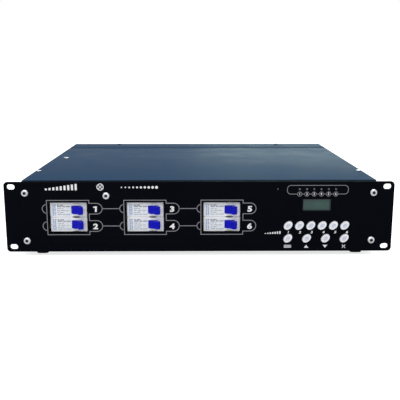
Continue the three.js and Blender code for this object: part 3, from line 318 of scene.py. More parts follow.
def numeral(text, x, z, size, slant=0.0, weight=0.0, width=1.0):
    """Printed numeral on the panel's face, centred on a place."""
    curve = bpy.data.curves.new("numeral", "FONT")
    curve.body = text
    curve.size = size
    curve.shear = slant
    curve.bevel_depth = weight
    curve.bevel_resolution = 0
    curve.extrude = PRINT_LIFT
    curve.align_x = "CENTER"
    curve.align_y = "CENTER"
    flat = PRINT_LIFT / (PRINT_LIFT + weight)
    return mesh_of(curve, lambda co: (x + co.x * width, FRONT + co.z * flat, z + co.y))


def moved(made, matrix):
    bmesh.ops.transform(made, matrix=matrix, verts=made.verts)
    return made


def painted(material, *meshes):
    """Pairs of a mesh and its material."""
    return [(made, material) for made in meshes]


def piece(name, body, parts, stands_for=(), smooth=32):
    """A named object from (mesh, material) pairs that rides on a CAD body."""
    merged = bmesh.new()
    materials = []
    for made, material in parts:
        if material not in materials:
            materials.append(material)
        for face in made.faces:
            face.material_index = materials.index(material)
        part_mesh = bpy.data.meshes.new("part")
        made.to_mesh(part_mesh)
        made.free()
        merged.from_mesh(part_mesh)
        bpy.data.meshes.remove(part_mesh)
    mesh = bpy.data.meshes.new(name)
    merged.to_mesh(mesh)
    merged.free()
    mesh.shade_smooth()
    mesh.set_sharp_from_angle(angle=math.radians(smooth))
    for material in materials:
        mesh.materials.append(material)
    made_object = linked(name, mesh)
    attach(made_object, body)
    if stands_for:
        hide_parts(*stands_for)
    return made_object


def cut_by(target, cutters):
    """Cuts closed meshes out of an object's mesh."""
    holder = piece("cutters", "case", painted(None, *cutters))
    modifier = target.modifiers.new("cut", "BOOLEAN")
    modifier.operation = "DIFFERENCE"
    modifier.solver = "EXACT"
    modifier.object = holder
    evaluated = target.evaluated_get(bpy.context.evaluated_depsgraph_get())
    mesh = bpy.data.meshes.new_from_object(evaluated)
    target.modifiers.clear()
    old = target.data
    target.data = mesh
    mesh.name = target.name
    bpy.data.meshes.remove(old)
    bpy.data.objects.remove(holder)
    mesh.set_sharp_from_angle(angle=math.radians(32))


# Materials


def add_node(tree, kind, inputs, **settings):
    """A new node with its settings and inputs."""
    node = tree.nodes.new("ShaderNode" + kind)
    for name, value in settings.items():
        setattr(node, name, value)
    return fed(tree, node, inputs)


def fed(tree, node, inputs):
    """Sets a node's inputs: a value directly, another node's output by a link."""
    for key, value in inputs.items():
        socket = node.inputs[key]
        if isinstance(value, bpy.types.NodeSocket):
            tree.links.new(value, socket)
        else:
            socket.default_value = (*value, 1) if socket.type == "RGBA" else value
    return node


class Surface:
    """A node material built up from one shader."""

    def __init__(self, name, color, roughness, metallic=0.0, specular=0.5, coat=0.0):
        self.material = bpy.data.materials.new(name)
        self.material.use_nodes = True
        self.tree = self.material.node_tree
        self.color = color
        self.roughness = roughness
        self.relief = None
        self.shade({"Metallic": metallic, "Specular IOR Level": specular, "Coat Weight": coat,
                    "Coat Roughness": 0.15})
        self.place = self.node("TexCoord", {}).outputs["Object"]

    def node(self, kind, inputs, **settings):
        return add_node(self.tree, kind, inputs, **settings)

    def shade(self, inputs):
        """Sets inputs of the shader."""
        fed(self.tree, self.tree.nodes["Principled BSDF"], inputs)

    def noise(self, scale, detail, stretch=(1, 1, 1)):
        """A noise value from 0 to 1 with features of about 1 / scale metres."""
        mapped = self.node("Mapping", {"Vector": self.place, "Scale": stretch}).outputs["Vector"]
        return self.node("TexNoise", {"Vector": mapped, "Scale": scale, "Detail": detail}).outputs["Fac"]

    def ramp(self, value, low, high, from_low=0.3, from_high=0.7):
        """Maps a value onto a range."""
        return self.node("MapRange", {"Value": value, "From Min": from_low, "From Max": from_high,
                                      "To Min": low, "To Max": high}).outputs["Result"]

    def blend(self, factor, first, second):
        """A colour between two colours, each a tuple or a socket."""
        return self.node("Mix", {"Factor": factor, 6: first, 7: second}, data_type="RGBA").outputs[2]

    def vary(self, scale, spread, rough_spread, stretch=(1, 1, 1)):
        """Slow variation of the colour and the roughness over the surface."""
        value = self.noise(scale, 3, stretch)
        darker = tuple(c * (1 - spread) for c in self.color)
        lighter = tuple(min(c * (1 + spread), 1) for c in self.color)
        self.base = self.blend(self.ramp(value, 0, 1), darker, lighter)
        rough = self.ramp(value, self.roughness - rough_spread, self.roughness + rough_spread)
        self.shade({"Roughness": rough})
        return self

    def edges(self, color, strength):
        """Paler edges where handling has polished the surface."""
        point = self.node("NewGeometry", {}).outputs["Pointiness"]
        self.base = self.blend(self.ramp(point, 0, strength, 0.53, 0.6), self.base, color)
        return self

    def grain(self, scale, strength, stretch=(1, 1, 1)):
        """Fine relief in the surface, on top of any coarser one."""
        inputs = {"Strength": strength, "Distance": 0.0002, "Height": self.noise(scale, 3, stretch)}
        if self.relief is not None:
            inputs["Normal"] = self.relief
        self.relief = self.node("Bump", inputs).outputs["Normal"]
        return self

    def done(self):
        self.shade({"Base Color": self.base})
        if self.relief is not None:
            self.shade({"Normal": self.relief})
        return self.material


def powder_coat(name, color, roughness, specular, edge):
    """Powder coat: fine orange peel, slight tone changes and paler edges."""
    surface = Surface(name, color, roughness, specular=specular)
    surface.vary(28, 0.09, 0.05).edges(edge, 0.5)
    return surface.grain(1500, 0.1).grain(420, 0.06).done()


def moulding(name, color, roughness, grain=0.08, specular=0.5):
    """Moulded plastic with a fine spark-eroded grain."""
    surface = Surface(name, color, roughness, specular=specular)
    return surface.vary(60, 0.05, 0.05).grain(2600, grain).done()


def metal(name, color, roughness, stretch=(1, 1, 1), grain=0.08):
    """Bare metal, drawn out along one axis where it's brushed or rolled."""
    surface = Surface(name, color, roughness, metallic=1.0)
    return surface.vary(90, 0.1, 0.08, stretch).grain(1400, grain, stretch).done()


def print_ink(name, color):
    """Screen-printed ink, a little uneven in its cover."""
    return Surface(name, color, 0.55).vary(900, 0.12, 0.05).grain(3000, 0.06).done()


def lens(name, color):
    """Tinted plastic that lets some light in."""
    surface = Surface(name, color, 0.12, coat=0.4)
    surface.shade({"Transmission Weight": 0.35, "Subsurface Weight": 0.2, "Subsurface Scale": 0.001})
    return surface.vary(500, 0.1, 0.03).grain(900, 0.03).done()


def display_glass(name, color):
    """Blank display seen through its window, with a faint dot grid and a slow tint change."""
    surface = Surface(name, color, 0.2, specular=0.4, coat=0.3).vary(45, 0.16, 0.04)
    dots = surface.ramp(surface.noise(1800, 1), 0, 0.25)
    surface.base = surface.blend(dots, surface.base, tuple(c * 0.75 for c in color))
    return surface.done()


def circuit_board(name, color):
    """Solder-masked board with the copper's tracks showing through it."""
    surface = Surface(name, color, 0.35, coat=0.3).vary(40, 0.1, 0.05)
    tracks = surface.node("TexVoronoi", {"Vector": surface.place, "Scale": 260}, distance="MANHATTAN")
    lines = surface.ramp(tracks.outputs["Distance"], 0, 0.6, 0.45, 0.6)
    surface.base = surface.blend(lines, surface.base, tuple(c * 2.2 for c in color))
    return surface.grain(700, 0.12).done()


def windings(name, color):
    """Enamelled copper wire."""
    surface = Surface(name, color, 0.3, metallic=0.85, coat=0.6)
    return surface.vary(160, 0.2, 0.06).grain(1200, 0.05).done()


PANEL_BLACK = powder_coat("panel_black", (0.003, 0.0037, 0.0062), 0.5, 0.004, (0.006, 0.007, 0.01))
# Matte black of the tray's front wall and lip, also used for the strip of painted shadow under the cover's
# front edge.
INNER_BLACK_AND_SHADE = powder_coat("inner_black_and_painted_shade", (0.002, 0.0032, 0.006), 0.6, 0.0, (0.003, 0.004, 0.007))
CASE_BLUE = powder_coat("case_blue", (0.022, 0.053, 0.105), 0.5, 0.008, (0.05, 0.08, 0.13))
STEEL = metal("steel", (0.66, 0.67, 0.7), 0.26)
DARK_STEEL = metal("dark_steel", (0.035, 0.036, 0.04), 0.35)
SHEET_STEEL = metal("sheet_steel", (0.55, 0.56, 0.57), 0.36, (1, 12, 1))
CAST_METAL = metal("cast_metal", (0.48, 0.49, 0.5), 0.42, grain=0.2)
FINS = metal("heat_sink_fins", (0.62, 0.63, 0.64), 0.34, (0.3, 8, 8))
CONTACT = metal("contact_brass", (0.75, 0.55, 0.22), 0.25)
BREAKER_WHITE = moulding("breaker_white", (0.92, 0.93, 0.98), 0.45)
# Dark grey that stands for the shade in the scoops between the two breakers of a pair: painted shade.
NOTCH_SHADE = moulding("notch_painted_shade", (0.06, 0.06, 0.05), 0.7, 0.1)
LEVER_BLUE = moulding("lever_blue", (0.001, 0.003, 0.5), 0.42, 0.05, 0.15)
KEY_WHITE = moulding("key_white", (0.89, 0.92, 0.99), 0.42, 0.05)
# Greyer white for the middle of each key's dish: painted shade of the dished face.
KEY_DISH_SHADE = moulding("key_dish_painted_shade", (0.64, 0.67, 0.78), 0.5, 0.06)
BLACK_PLASTIC = moulding("black_plastic", (0.012, 0.012, 0.013), 0.5, 0.2)
GREY_PLASTIC = moulding("grey_plastic", (0.27, 0.28, 0.29), 0.5, 0.12)
RUBBER = moulding("foot_rubber", (0.012, 0.012, 0.012), 0.8, 0.3, 0.3)
LAMP_GREY = lens("lamp_grey", (0.1, 0.11, 0.115))
LAMP_RED = lens("lamp_red", (0.04, 0.003, 0.005))
DISPLAY = display_glass("display_green", (0.023, 0.075, 0.066))
# Darker glass colour for the shadow that the window's edges cast on the display: painted shadow.
DISPLAY_SHADE = display_glass("display_painted_shade", (0.011, 0.027, 0.031))
BOARD = circuit_board("board_green", (0.012, 0.09, 0.035))
COPPER = windings("choke_copper", (0.55, 0.2, 0.07))
INK_WHITE = print_ink("ink_white", (0.85, 0.86, 0.88))
INK_GREY = print_ink("ink_grey", (0.228, 0.22, 0.248))
INK_BLUE = print_ink("ink_blue", (0.16, 0.27, 0.55))
LABEL_PALE = print_ink("label_pale", (0.79, 0.83, 0.91))
INK_LABEL_GREY = print_ink("ink_label_grey", (0.3, 0.31, 0.34))

# Stage: camera, soft lights, white surroundings and a pale floor


def facing(direction):
    """Rotation that points a camera or a light this way."""
    return Vector(direction).to_track_quat("-Z", "Y").to_euler()


camera_data = bpy.data.cameras.new("camera")
camera_data.lens = 57.28
camera = linked("camera", camera_data)
camera.location = (-0.00714, FRONT - 0.77076, 0.23521)
camera.rotation_euler = facing((0.00976, 0.9794, -0.20719))
scene.camera = camera
scene.view_settings.view_transform = "Standard"


def soft_light(name, place, aim, size, power, color=(1, 1, 1), seen=True):
    data = bpy.data.lights.new(name, "AREA")
    data.shape = "RECTANGLE"
    data.size, data.size_y = size
    data.energy = power
    data.color = color
    light = linked(name, data)
    light.location = place
    light.rotation_euler = facing(Vector(aim) - Vector(place))
    light.visible_camera = seen


soft_light("front_softbox", (-0.5, -1.7, 1.9), (0, -0.1, 0.03), (1.6, 1.2), 23)
soft_light("top_softbox", (0.2, 0.2, 2.2), (0, 0.1, 0), (2.0, 1.6), 19.5)
soft_light("rear_softbox", (1.0, 2.4, 0.75), (0, 0.1, 0.09), (2.1, 1.3), 24, (0.78, 1.0, 0.88), seen=False)

SURROUNDING_LIGHT = 0.5
FLOOR_GLOW = 0.75
FLOOR_REACH = 4


def surroundings():
    """White to the camera and in reflections, and a plain soft light on the object."""
    scene.world = bpy.data.worlds.new("surroundings")
    scene.world.use_nodes = True
    tree = scene.world.node_tree
    rays = add_node(tree, "LightPath", {}).outputs
    seen = rays["Is Camera Ray"]
    for ray in ("Is Glossy Ray", "Is Transmission Ray"):
        seen = add_node(tree, "Math", {0: seen, 1: rays[ray]}, operation="MAXIMUM").outputs[0]
    level = add_node(tree, "MapRange", {"Value": seen, "To Min": SURROUNDING_LIGHT, "To Max": 1.0})
    fed(tree, tree.nodes["Background"], {"Color": (1, 1, 1), "Strength": level.outputs["Result"]})


def floor():
    """Pale floor that looks white to the camera and keeps the object's shadow."""
    surface = Surface("floor_white", (0.8, 0.8, 0.8), 0.9, specular=0.0).vary(1.5, 0.01, 0.02)
    camera_ray = surface.node("LightPath", {}).outputs["Is Camera Ray"]
    glow = surface.ramp(camera_ray, 0, FLOOR_GLOW, 0, 1)
    surface.shade({"Emission Color": (1, 1, 1), "Emission Strength": glow})
    mesh = bpy.data.meshes.new("floor")
    corners = rectangle(-FLOOR_REACH, -FLOOR_REACH, FLOOR_REACH, FLOOR_REACH)
    mesh.from_pydata([(x, y, 0) for x, y in corners], [], [(0, 1, 2, 3)])
    mesh.materials.append(surface.done())
    plane = linked("floor", mesh)


surroundings()
floor()

# The front panel

PANEL_SHEET = 0.003
PANEL_CORNER = 0.0045
RACK_SLOT = (0.01, 0.0067)
RACK_SLOT_INSET = (0.00875, 0.00635)
SCREW_HOLE = 0.0028
KEY_SLANT = math.radians(43)
KEY_LONG, KEY_SHORT = 0.0061, 0.0043
KEY_GAP = 0.00035
WINDOW_HALF = (0.0238, 0.01975)
DISPLAY_WINDOW_HALF = (0.01775, 0.0078)
LAMP_RADIUS = 0.0015
LAMP_GAP = 0.0002
LAMP_PITCH = 0.00895
STATUS = middle("status_lamp")
LAMP_XS = [middle("channel_lamps").x + (i - 2.5) * LAMP_PITCH for i in range(6)]
PAIR_Z = (middle("breaker_1").z + middle("breaker_2").z) / 2
COLUMN_XS = [middle(f"breaker_{i}").x for i in (1, 3, 5)]


def front_panel():
    half = cad_high[0]
    inset_x, inset_z = RACK_SLOT_INSET
    slots = [slot(side * (half - inset_x), z, *RACK_SLOT)
             for side in (-1, 1) for z in (BASE + inset_z, PANEL_TOP - inset_z)]
    windows = [rounded_at(x, PAIR_Z, *WINDOW_HALF, 0.001) for x in COLUMN_XS]
    display = middle("display_module")
    glass = rounded_at(display.x, display.z, *DISPLAY_WINDOW_HALF, 0.0005)
    keys = [oval(middle(key).x, middle(key).z, KEY_LONG + KEY_GAP, KEY_SHORT + KEY_GAP, KEY_SLANT)
            for key in CHANNEL_KEYS + MENU_KEYS]
    lamps = [circle(x, STATUS.z, LAMP_RADIUS + LAMP_GAP, 24) for x in [STATUS.x, *LAMP_XS]]
    screws = [circle(at.x, at.z, SCREW_HOLE) for at in PANEL_SCREWS]
    sheet = plate(rounded(-half, BASE, half, PANEL_TOP, PANEL_CORNER), FRONT, FRONT + PANEL_SHEET,
                  holes=[*slots, *windows, glass, *keys, *lamps, *screws], bevel=0.00025)
    low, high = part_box("control_board")
    inset = 0.0035
    pillar = [(0, 0), (0.003, 0), (0.003, 0.0092), (0.0026, 0.0096), (0, 0.0096)]
    pillars = [lathe(pillar, (x, FRONT + PANEL_SHEET, z), steps=24)
               for x in (low.x + inset, high.x - inset) for z in (low.z + inset, high.z - inset)]
    piece("panel", "case", painted(PANEL_BLACK, sheet) + painted(STEEL, *pillars),
          ["front_panel"])


front_panel()

# Button-head screws with hexagon sockets, from points (radius, height)
SCREW_HEAD = [
    (0, -0.00105), (0.0019, -0.00105, hexagon), (0.0019, -0.0026, hexagon), (0.00215, -0.00272),
    (0.0026, -0.00275), (0.0033, -0.0026), (0.004, -0.00215), (0.00445, -0.0015), (0.0047, -0.0008),
    (0.00475, -0.0004), (0.0047, -0.0001), (0.0046, 0), (0.0024, 0), (0.0024, 0.0098), (0.0021, 0.01),
    (0, 0.01),
]
SCREW_SOCKET = [
    (0, -0.00095), (0.002, -0.00095, hexagon), (0.002, -0.00262, hexagon), (0.00189, -0.00262, hexagon),
    (0.00189, -0.0011, hexagon), (0, -0.0011),
]
for number, at in enumerate(PANEL_SCREWS, 1):
    seat = (at.x, FRONT - 0.0003, at.z)
    screw = painted(STEEL, lathe(SCREW_HEAD, seat)) + painted(DARK_STEEL, lathe(SCREW_SOCKET, seat))
    piece(f"screw_{number}", "case", screw, [f"panel_screw_{number}"])

# Printed lines, numerals and symbols on the panel, in heights above the print's lower edge

PRINT_LOW = PANEL_TOP - 0.0881
LINE = 0.0009
FINE_LINE = 0.00068
RING_LINE = 0.0006
FRAME_LEFT, FRAME_RIGHT = -0.0262, 0.0261
FRAME_LOW, FRAME_HIGH = 0.0212, 0.065
FRAME_SHIFT = 0.0001
TABS = [(0.0476, 0.0612), (0.0254, 0.0392)]
TAB_REACH = 0.0162
BRIDGE_RADII = (0.0056, 0.0052, 0.005)
LAMP_LINE_LEFT, LAMP_LINE_RIGHT = 0.1086, 0.184
LAMP_LINE_LOW, LAMP_LINE_HIGH = 0.0724, 0.0833
LAMP_LINE_CORNER = 0.0043
LAMP_RING = 0.0027
KEY_NUMBER_Z = 0.0235
SIGN_LOW, SIGN_HIGH = 0.0034, 0.0072


def breaker_frame(x):
    """Line round a pair of breakers, with a rounded tab for each number."""
    left, right = x + FRAME_LEFT, x + FRAME_RIGHT
    points = [(left, FRAME_LOW), (left, FRAME_HIGH), (right, FRAME_HIGH)]
    for low, high in TABS:
        radius = (high - low) / 2
        points.append((right, high))
        points += arc(right + TAB_REACH - radius, (low + high) / 2, radius, 90, -90, 16)
        points.append((right, low))
    points.append((right, FRAME_LOW))
    return ribbon([(u, PRINT_LOW + v) for u, v in points], LINE)


def breaker_number(number, x, z):
    """Bold number in a tab, moved a little where the tab's number isn't in its middle."""
    x += 0.0073 + (0.001 if number in "156" else 0)
    made = [numeral(number, x, z - 0.001, 0.0093, slant=0.04, weight=0.00038, width=1.3)]
    if number == "1":
        made.append(stroke((x - 0.0031, z + 0.0017), (x - 0.0004, z + 0.0022), 0.0015))
    return made


def panel_prints():
    grey = []
    white = []
    for i, x in enumerate(COLUMN_XS):
        x += FRAME_SHIFT
        grey.append(breaker_frame(x))
        for row, (low, high) in enumerate(TABS):
            z = PRINT_LOW + (low + high) / 2
            grey.append(ribbon(arc(x + FRAME_LEFT, z, BRIDGE_RADII[i], 90, 270, 14), LINE, closed=False))
            if i < len(COLUMN_XS) - 1:
                end = COLUMN_XS[i + 1] + FRAME_LEFT - BRIDGE_RADII[i + 1]
                grey.append(stroke((x + FRAME_RIGHT + TAB_REACH, z), (end, z), LINE))
            white += breaker_number(str(2 * i + row + 1), x + FRAME_RIGHT, z)
    for i, x in enumerate(LAMP_XS):
        white.append(numeral(str(i + 1), x, PRINT_LOW + LAMP_LINE_LOW, 0.0044, weight=0.00004))
    for i, key in enumerate(CHANNEL_KEYS):
        x = middle(key).x + 0.0002 + 0.0006 * i
        white.append(numeral(str(i + 1), x, PRINT_LOW + KEY_NUMBER_Z, 0.0042, slant=0.2, weight=0.00018,
                             width=1.2))
    piece("grey_prints", "case", painted(INK_GREY, *grey, *lamp_frame()))
    piece("white_prints", "case", painted(INK_WHITE, *white, *symbols()))


def lamp_frame():
    """Rounded line round the lamps, broken below by a circle under each lamp."""
    low, high, steps = PRINT_LOW + LAMP_LINE_LOW, PRINT_LOW + LAMP_LINE_HIGH, 8
    outline = rounded(LAMP_LINE_LEFT, low, LAMP_LINE_RIGHT, high, LAMP_LINE_CORNER, steps)
    corner = steps + 1
    upper = [(LAMP_XS[-1] + LAMP_RING, low), *outline[-corner:], *outline[:-corner],
             (LAMP_XS[0] - LAMP_RING, low)]
    rings = [ribbon(circle(x, low, LAMP_RING, 28), RING_LINE) for x in LAMP_XS]
    gaps = [stroke((a + LAMP_RING, low), (b - LAMP_RING, low), FINE_LINE)
            for a, b in zip(LAMP_XS, LAMP_XS[1:])]
    return [*rings, ribbon(upper, FINE_LINE, closed=False), *gaps]


def crossed(x, z, half_x, half_z):
    """Two strokes across each other."""
    return [stroke((x - half_x, z - side * half_z), (x + half_x, z + side * half_z), LINE)
            for side in (1, -1)]


def bars(count, x, pitch, width, z, heights):
    """A row of upright bars on one line."""
    return [ink(rectangle(x + i * pitch, z, x + i * pitch + width, z + heights(i))) for i in range(count)]


def symbols():
    """Generic marks: rising bars, a lamp sign and level dots above, and a sign under each lower key."""
    low, high = PRINT_LOW + 0.0778, PRINT_LOW + 0.0856
    made = bars(9, -0.1905, 0.0046, 0.0026, low, lambda i: (high - low) * (0.28 + 0.09 * i))
    lamp, reach = (-0.1225, (low + high) / 2), 0.0039
    made.append(ribbon(circle(*lamp, reach, 32), 0.001))
    made += crossed(*lamp, reach * math.sqrt(0.5), reach * math.sqrt(0.5))
    made += [ink(circle(-0.0962 + i * 0.0048, PRINT_LOW + 0.0812, 0.0008 + 0.00011 * i, 20))
             for i in range(10)]
    made += bars(7, 0.0818, 0.003, 0.0017, PRINT_LOW + 0.0216, lambda i: 0.001 + 0.0004 * i)
    menu, up, down, escape = (middle(key).x for key in MENU_KEYS)
    for i in range(3):
        z = PRINT_LOW + 0.0036 + i * 0.0014
        made.append(ink(rectangle(menu - 0.0045, z, menu + 0.0045, z + 0.0008)))
    low, high = PRINT_LOW + SIGN_LOW, PRINT_LOW + SIGN_HIGH
    for x, base, tip in ((up, low, high), (down, high, low)):
        made.append(ink([(x - 0.0029, base), (x + 0.0029, base), (x, tip)]))
    return made + crossed(escape, (low + high) / 2, 0.0019, 0.0019)


panel_prints()

# Circuit breakers and their levers

NOSE_HALF = 0.0228
NOSE_FACE = FRONT + 0.004
NOSE_CORNER = 0.0007
MODULE_HALF = 0.009175
FACE_DEPTH, WELL_DEPTH, NOSE_DEPTH, MODULE_DEPTH = 0.0013, 0.0088, 0.017, 0.062
WELL_HALF = 0.0066
SCOOP_CHORD, SCOOP_SAGITTA = 0.011, 0.0011
SHADE_HALF, SHADE_HEIGHT = 0.0053, 0.0014
LEVER_LEAN = math.radians(38)
LEVER_HALF = 0.00485
LEVER_GAP = 0.0003
LEVER_HUB = 0.006
LEVER_LENGTH, LEVER_ROOT, LEVER_TIP = 0.0127, 0.0033, 0.0026


def scooped_outline(x, z, pivot):
    """Face of a module, with a shallow round scoop above and below its lever."""
    corner, edge, top = NOSE_CORNER, NOSE_HALF - NOSE_CORNER, z + MODULE_HALF
    radius = (SCOOP_CHORD ** 2 / 4 + SCOOP_SAGITTA ** 2) / (2 * SCOOP_SAGITTA)
    spread = math.degrees(math.asin(SCOOP_CHORD / 2 / radius))
    upper = [
        *arc(x + edge, top - corner, corner, 0, 90, 4),
        *arc(pivot, top - SCOOP_SAGITTA + radius, radius, 270 + spread, 270 - spread, 12),
        *arc(x - edge, top - corner, corner, 90, 180, 4),
    ]
    return [*upper, *((u, 2 * z - v) for u, v in reversed(upper))]


def module_side(x):
    """A module's body behind its nose, seen from above, with a notch for the rail."""
    front, back = NOSE_FACE + NOSE_DEPTH, NOSE_FACE + MODULE_DEPTH
    right = [(0.04, front), (0.04, back - 0.003), (0.037, back), (0.018, back), (0.018, back - 0.006)]
    return mirrored([(x + u, y) for u, y in right], x)


def breaker(index):
    """Circuit breaker: a face with a well for its lever, the nose behind it, the body, painted shade in the
    scoop toward its pair, and the print.
    """
    centre = middle(f"breaker_{index}")
    x, z = centre.x, centre.z
    pivot = PIVOTS[f"lever_{index}"]
    well = rounded_at(pivot.x, z, WELL_HALF, LEVER_HALF + LEVER_GAP, 0.0004)
    nose = rounded_at(x, z, NOSE_HALF, MODULE_HALF, NOSE_CORNER)
    face_back, well_back, nose_back = (NOSE_FACE + depth for depth in (FACE_DEPTH, WELL_DEPTH, NOSE_DEPTH))
    face = plate(scooped_outline(x, z, pivot.x), NOSE_FACE, face_back, holes=[well])
    throat = plate(nose, face_back, well_back, holes=[well], bevel=0.0001)
    root = plate(nose, well_back, nose_back, bevel=0.0001)
    body = plate(module_side(x), z - MODULE_HALF, z + MODULE_HALF, "z", bevel=0.0006)
    # Painted shade: a thin dark grey sheet in the scoop on the side toward the other breaker of the pair,
    # standing for the shade there.
    inward = 1 if PAIR_Z > z else -1
    low, high = sorted((z + inward * MODULE_HALF, z + inward * (MODULE_HALF - SHADE_HEIGHT)))
    shade = ink(rectangle(pivot.x - SHADE_HALF, low, pivot.x + SHADE_HALF, high), face_back, 0.0001)
    parts = painted(BREAKER_WHITE, face, throat, root, body) + painted(NOTCH_SHADE, shade)
    piece(f"breaker_{index}_case", "case", parts + breaker_prints(x - NOSE_HALF, z),
          [f"breaker_{index}"])


def breaker_prints(left, z):
    """Pale label of a module, with two columns of small blue blocks and rows of grey bars."""
    lift = 0.00006
    marks = painted(LABEL_PALE, ink(rectangle(left + 0.0021, z - 0.0078, left + 0.0262, z + 0.0078),
                                    NOSE_FACE, lift / 2))

    def mark(start, length, low, height, material):
        outline = rectangle(left + start, z + low, left + start + length, z + low + height)
        marks.extend(painted(material, ink(outline, NOSE_FACE, lift)))

    for row in range(8):
        low = -0.0071 + row * 0.0018
        mark(0.003, 0.0015, low, 0.0011, INK_BLUE)
        mark(0.0053, 0.0011 + 0.0003 * (row * 5 % 3), low, 0.0011, INK_BLUE)
    rows = [(0.0052, 0.0014), (0.0034, 0.0014), (0.0012, 0.0007), (-0.0013, 0.0007), (-0.0038, 0.0007),
            (-0.0062, 0.0007)]
    for i, (low, height) in enumerate(rows):
        start = 0.0088
        for k in range(2 + i % 2):
            length = 0.0022 + 0.0011 * ((i * 3 + k * 2) % 4)
            mark(start, length, low, height, INK_LABEL_GREY)
            start += length + 0.001
    return marks


def lever(index):
    """Toggle: a round hub and a tapering handle with fine grips on its tip."""
    length, root, tip, corner = LEVER_LENGTH, LEVER_ROOT, LEVER_TIP, 0.0009
    start = math.degrees(math.acos(root / LEVER_HUB))
    flank = [(root - (root - tip) * t - 0.0003 * math.sin(math.pi * t), -0.0051 - 0.0054 * t)
             for t in (0.25, 0.5, 0.75)]
    for i in range(3):
        y = -length + 0.0024 - i * 0.0006
        flank += [(tip, y), (tip + 0.00018, y - 0.0002), (tip, y - 0.0004)]
    outline = [
        *arc(0, 0, LEVER_HUB, -start, 180 + start, 30),
        *((-x, y) for x, y in flank),
        *arc(-tip + corner, -length + corner, corner, 180, 270, 5),
        *arc(tip - corner, -length + corner, corner, 270, 360, 5),
        *reversed(flank),
    ]
    made = plate(outline, -LEVER_HALF, LEVER_HALF, "z", bevel=0.00045, steps=3)
    moved(made, Matrix.Translation(PIVOTS[f"lever_{index}"]) @ Matrix.Rotation(LEVER_LEAN, 4, "Z"))
    piece(f"toggle_{index}", f"lever_{index}", [(made, LEVER_BLUE)], [f"breaker_lever_{index}"])


for number in CHANNELS:
    breaker(number)
    lever(number)

# Keys, lamps and the display

KEY_PROFILE = [
    (0, -0.0025), (0.0012, -0.00253), (0.0022, -0.00268), (0.0031, -0.00292), (0.0036, -0.00305),
    (0.0041, -0.00314), (0.0046, -0.00319), (0.0051, -0.0032), (0.0055, -0.00312), (0.0058, -0.0029),
    (0.006, -0.00255), (0.0061, -0.0021), (0.0061, 0.0033), (0.0072, 0.0033), (0.0072, 0.0043),
    (0.0026, 0.0043), (0.0026, 0.0066), (0, 0.0066),
]
# A thin greyer shell lining the middle of the dish: painted shade of the dished face.
DISH_SHADE_PROFILE = [
    (0, -0.00265), (0.0012, -0.00269), (0.0022, -0.00283), (0.003, -0.00304), (0.0034, -0.00309),
    (0.0035, -0.00295), (0.0035, -0.002), (0, -0.002),
]
LAMP_SEAT = 0.0045
DOME = [(0, -0.001), (0.0004, -0.00095), (0.0008, -0.00078), (0.00115, -0.00048), (0.0014, -0.0001),
        (LAMP_RADIUS, 0.0004), (LAMP_RADIUS, LAMP_SEAT)]


def slanted(u, v):
    """Flattens a round key to its slanted oval."""
    return turned(u, v * KEY_SHORT / KEY_LONG, KEY_SLANT)


def key_cap(key):
    """Slanted oval key with painted shade in its dished face, a flange behind the panel and a stem."""
    at = (middle(key).x, FRONT, middle(key).z)
    cap, dish_shade = (lathe(profile, at, steps=64, place=slanted) for profile in (KEY_PROFILE, DISH_SHADE_PROFILE))
    piece(f"{key}_cap", f"{key}_body", [(cap, KEY_WHITE), (dish_shade, KEY_DISH_SHADE)], [key], smooth=50)


def lamps():
    low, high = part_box("channel_lamps")
    holder = block((low.x, FRONT + LAMP_SEAT, low.z), high, 0.0003)
    domes = [lathe([*DOME, (0, LAMP_SEAT)], (x, FRONT, STATUS.z), steps=32) for x in LAMP_XS]
    parts = painted(BLACK_PLASTIC, holder) + painted(LAMP_GREY, *domes)
    piece("lamp_row", "case", parts, ["channel_lamps"], smooth=40)
    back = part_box("status_lamp")[1].y - FRONT
    profile = [*DOME, (0.0023, LAMP_SEAT), (0.0023, back), (0, back)]
    single = lathe(profile, (STATUS.x, FRONT, STATUS.z), steps=32)
    piece("single_lamp", "case", [(single, LAMP_RED)], ["status_lamp"], smooth=40)


def display():
    """Blank display: its glass behind the window, a dark rim round the field, painted shadow along the
    field's top, bottom and right edges, and the module's body.
    """
    low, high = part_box("display_module")
    inset, rim, frame_depth = 0.002, 0.0006, 0.0012
    left, right, bottom, top = low.x + inset, high.x - inset, low.z + inset, high.z - inset
    field_low = Vector((left + rim, low.y + 0.0001, bottom + rim))
    field_high = Vector((right - rim, low.y + 0.001, top - rim))
    outline, hole = rounded_face(low, high, 0.0008), rounded_face(field_low, field_high, 0.0004)
    rim_plate = plate(outline, low.y, low.y + frame_depth, holes=[hole], bevel=0.00015)
    body = plate(outline, low.y + frame_depth, high.y, bevel=0.0004)
    front, back = low.y - 0.00005, low.y + 0.00035
    # Strips along the top, bottom and right of the field in a darker glass colour: painted shadow of the
    # window's edges.
    upper, lower, side = top - 0.0016, bottom + 0.0014, right - 0.0023
    shades = [block((x0, front, z0), (x1, back, z1), 0.0001) for x0, z0, x1, z1 in (
        (left, upper, right, top), (left, bottom, right, lower), (side, lower, right, upper))]
    parts = painted(DISPLAY, block(field_low, field_high, 0.0001)) + painted(BLACK_PLASTIC, rim_plate, body)
    piece("display", "case", parts + painted(DISPLAY_SHADE, *shades), ["display_module"])


for name in CHANNEL_KEYS + MENU_KEYS:
    key_cap(name)
lamps()
display()

# Covers, tray and feet

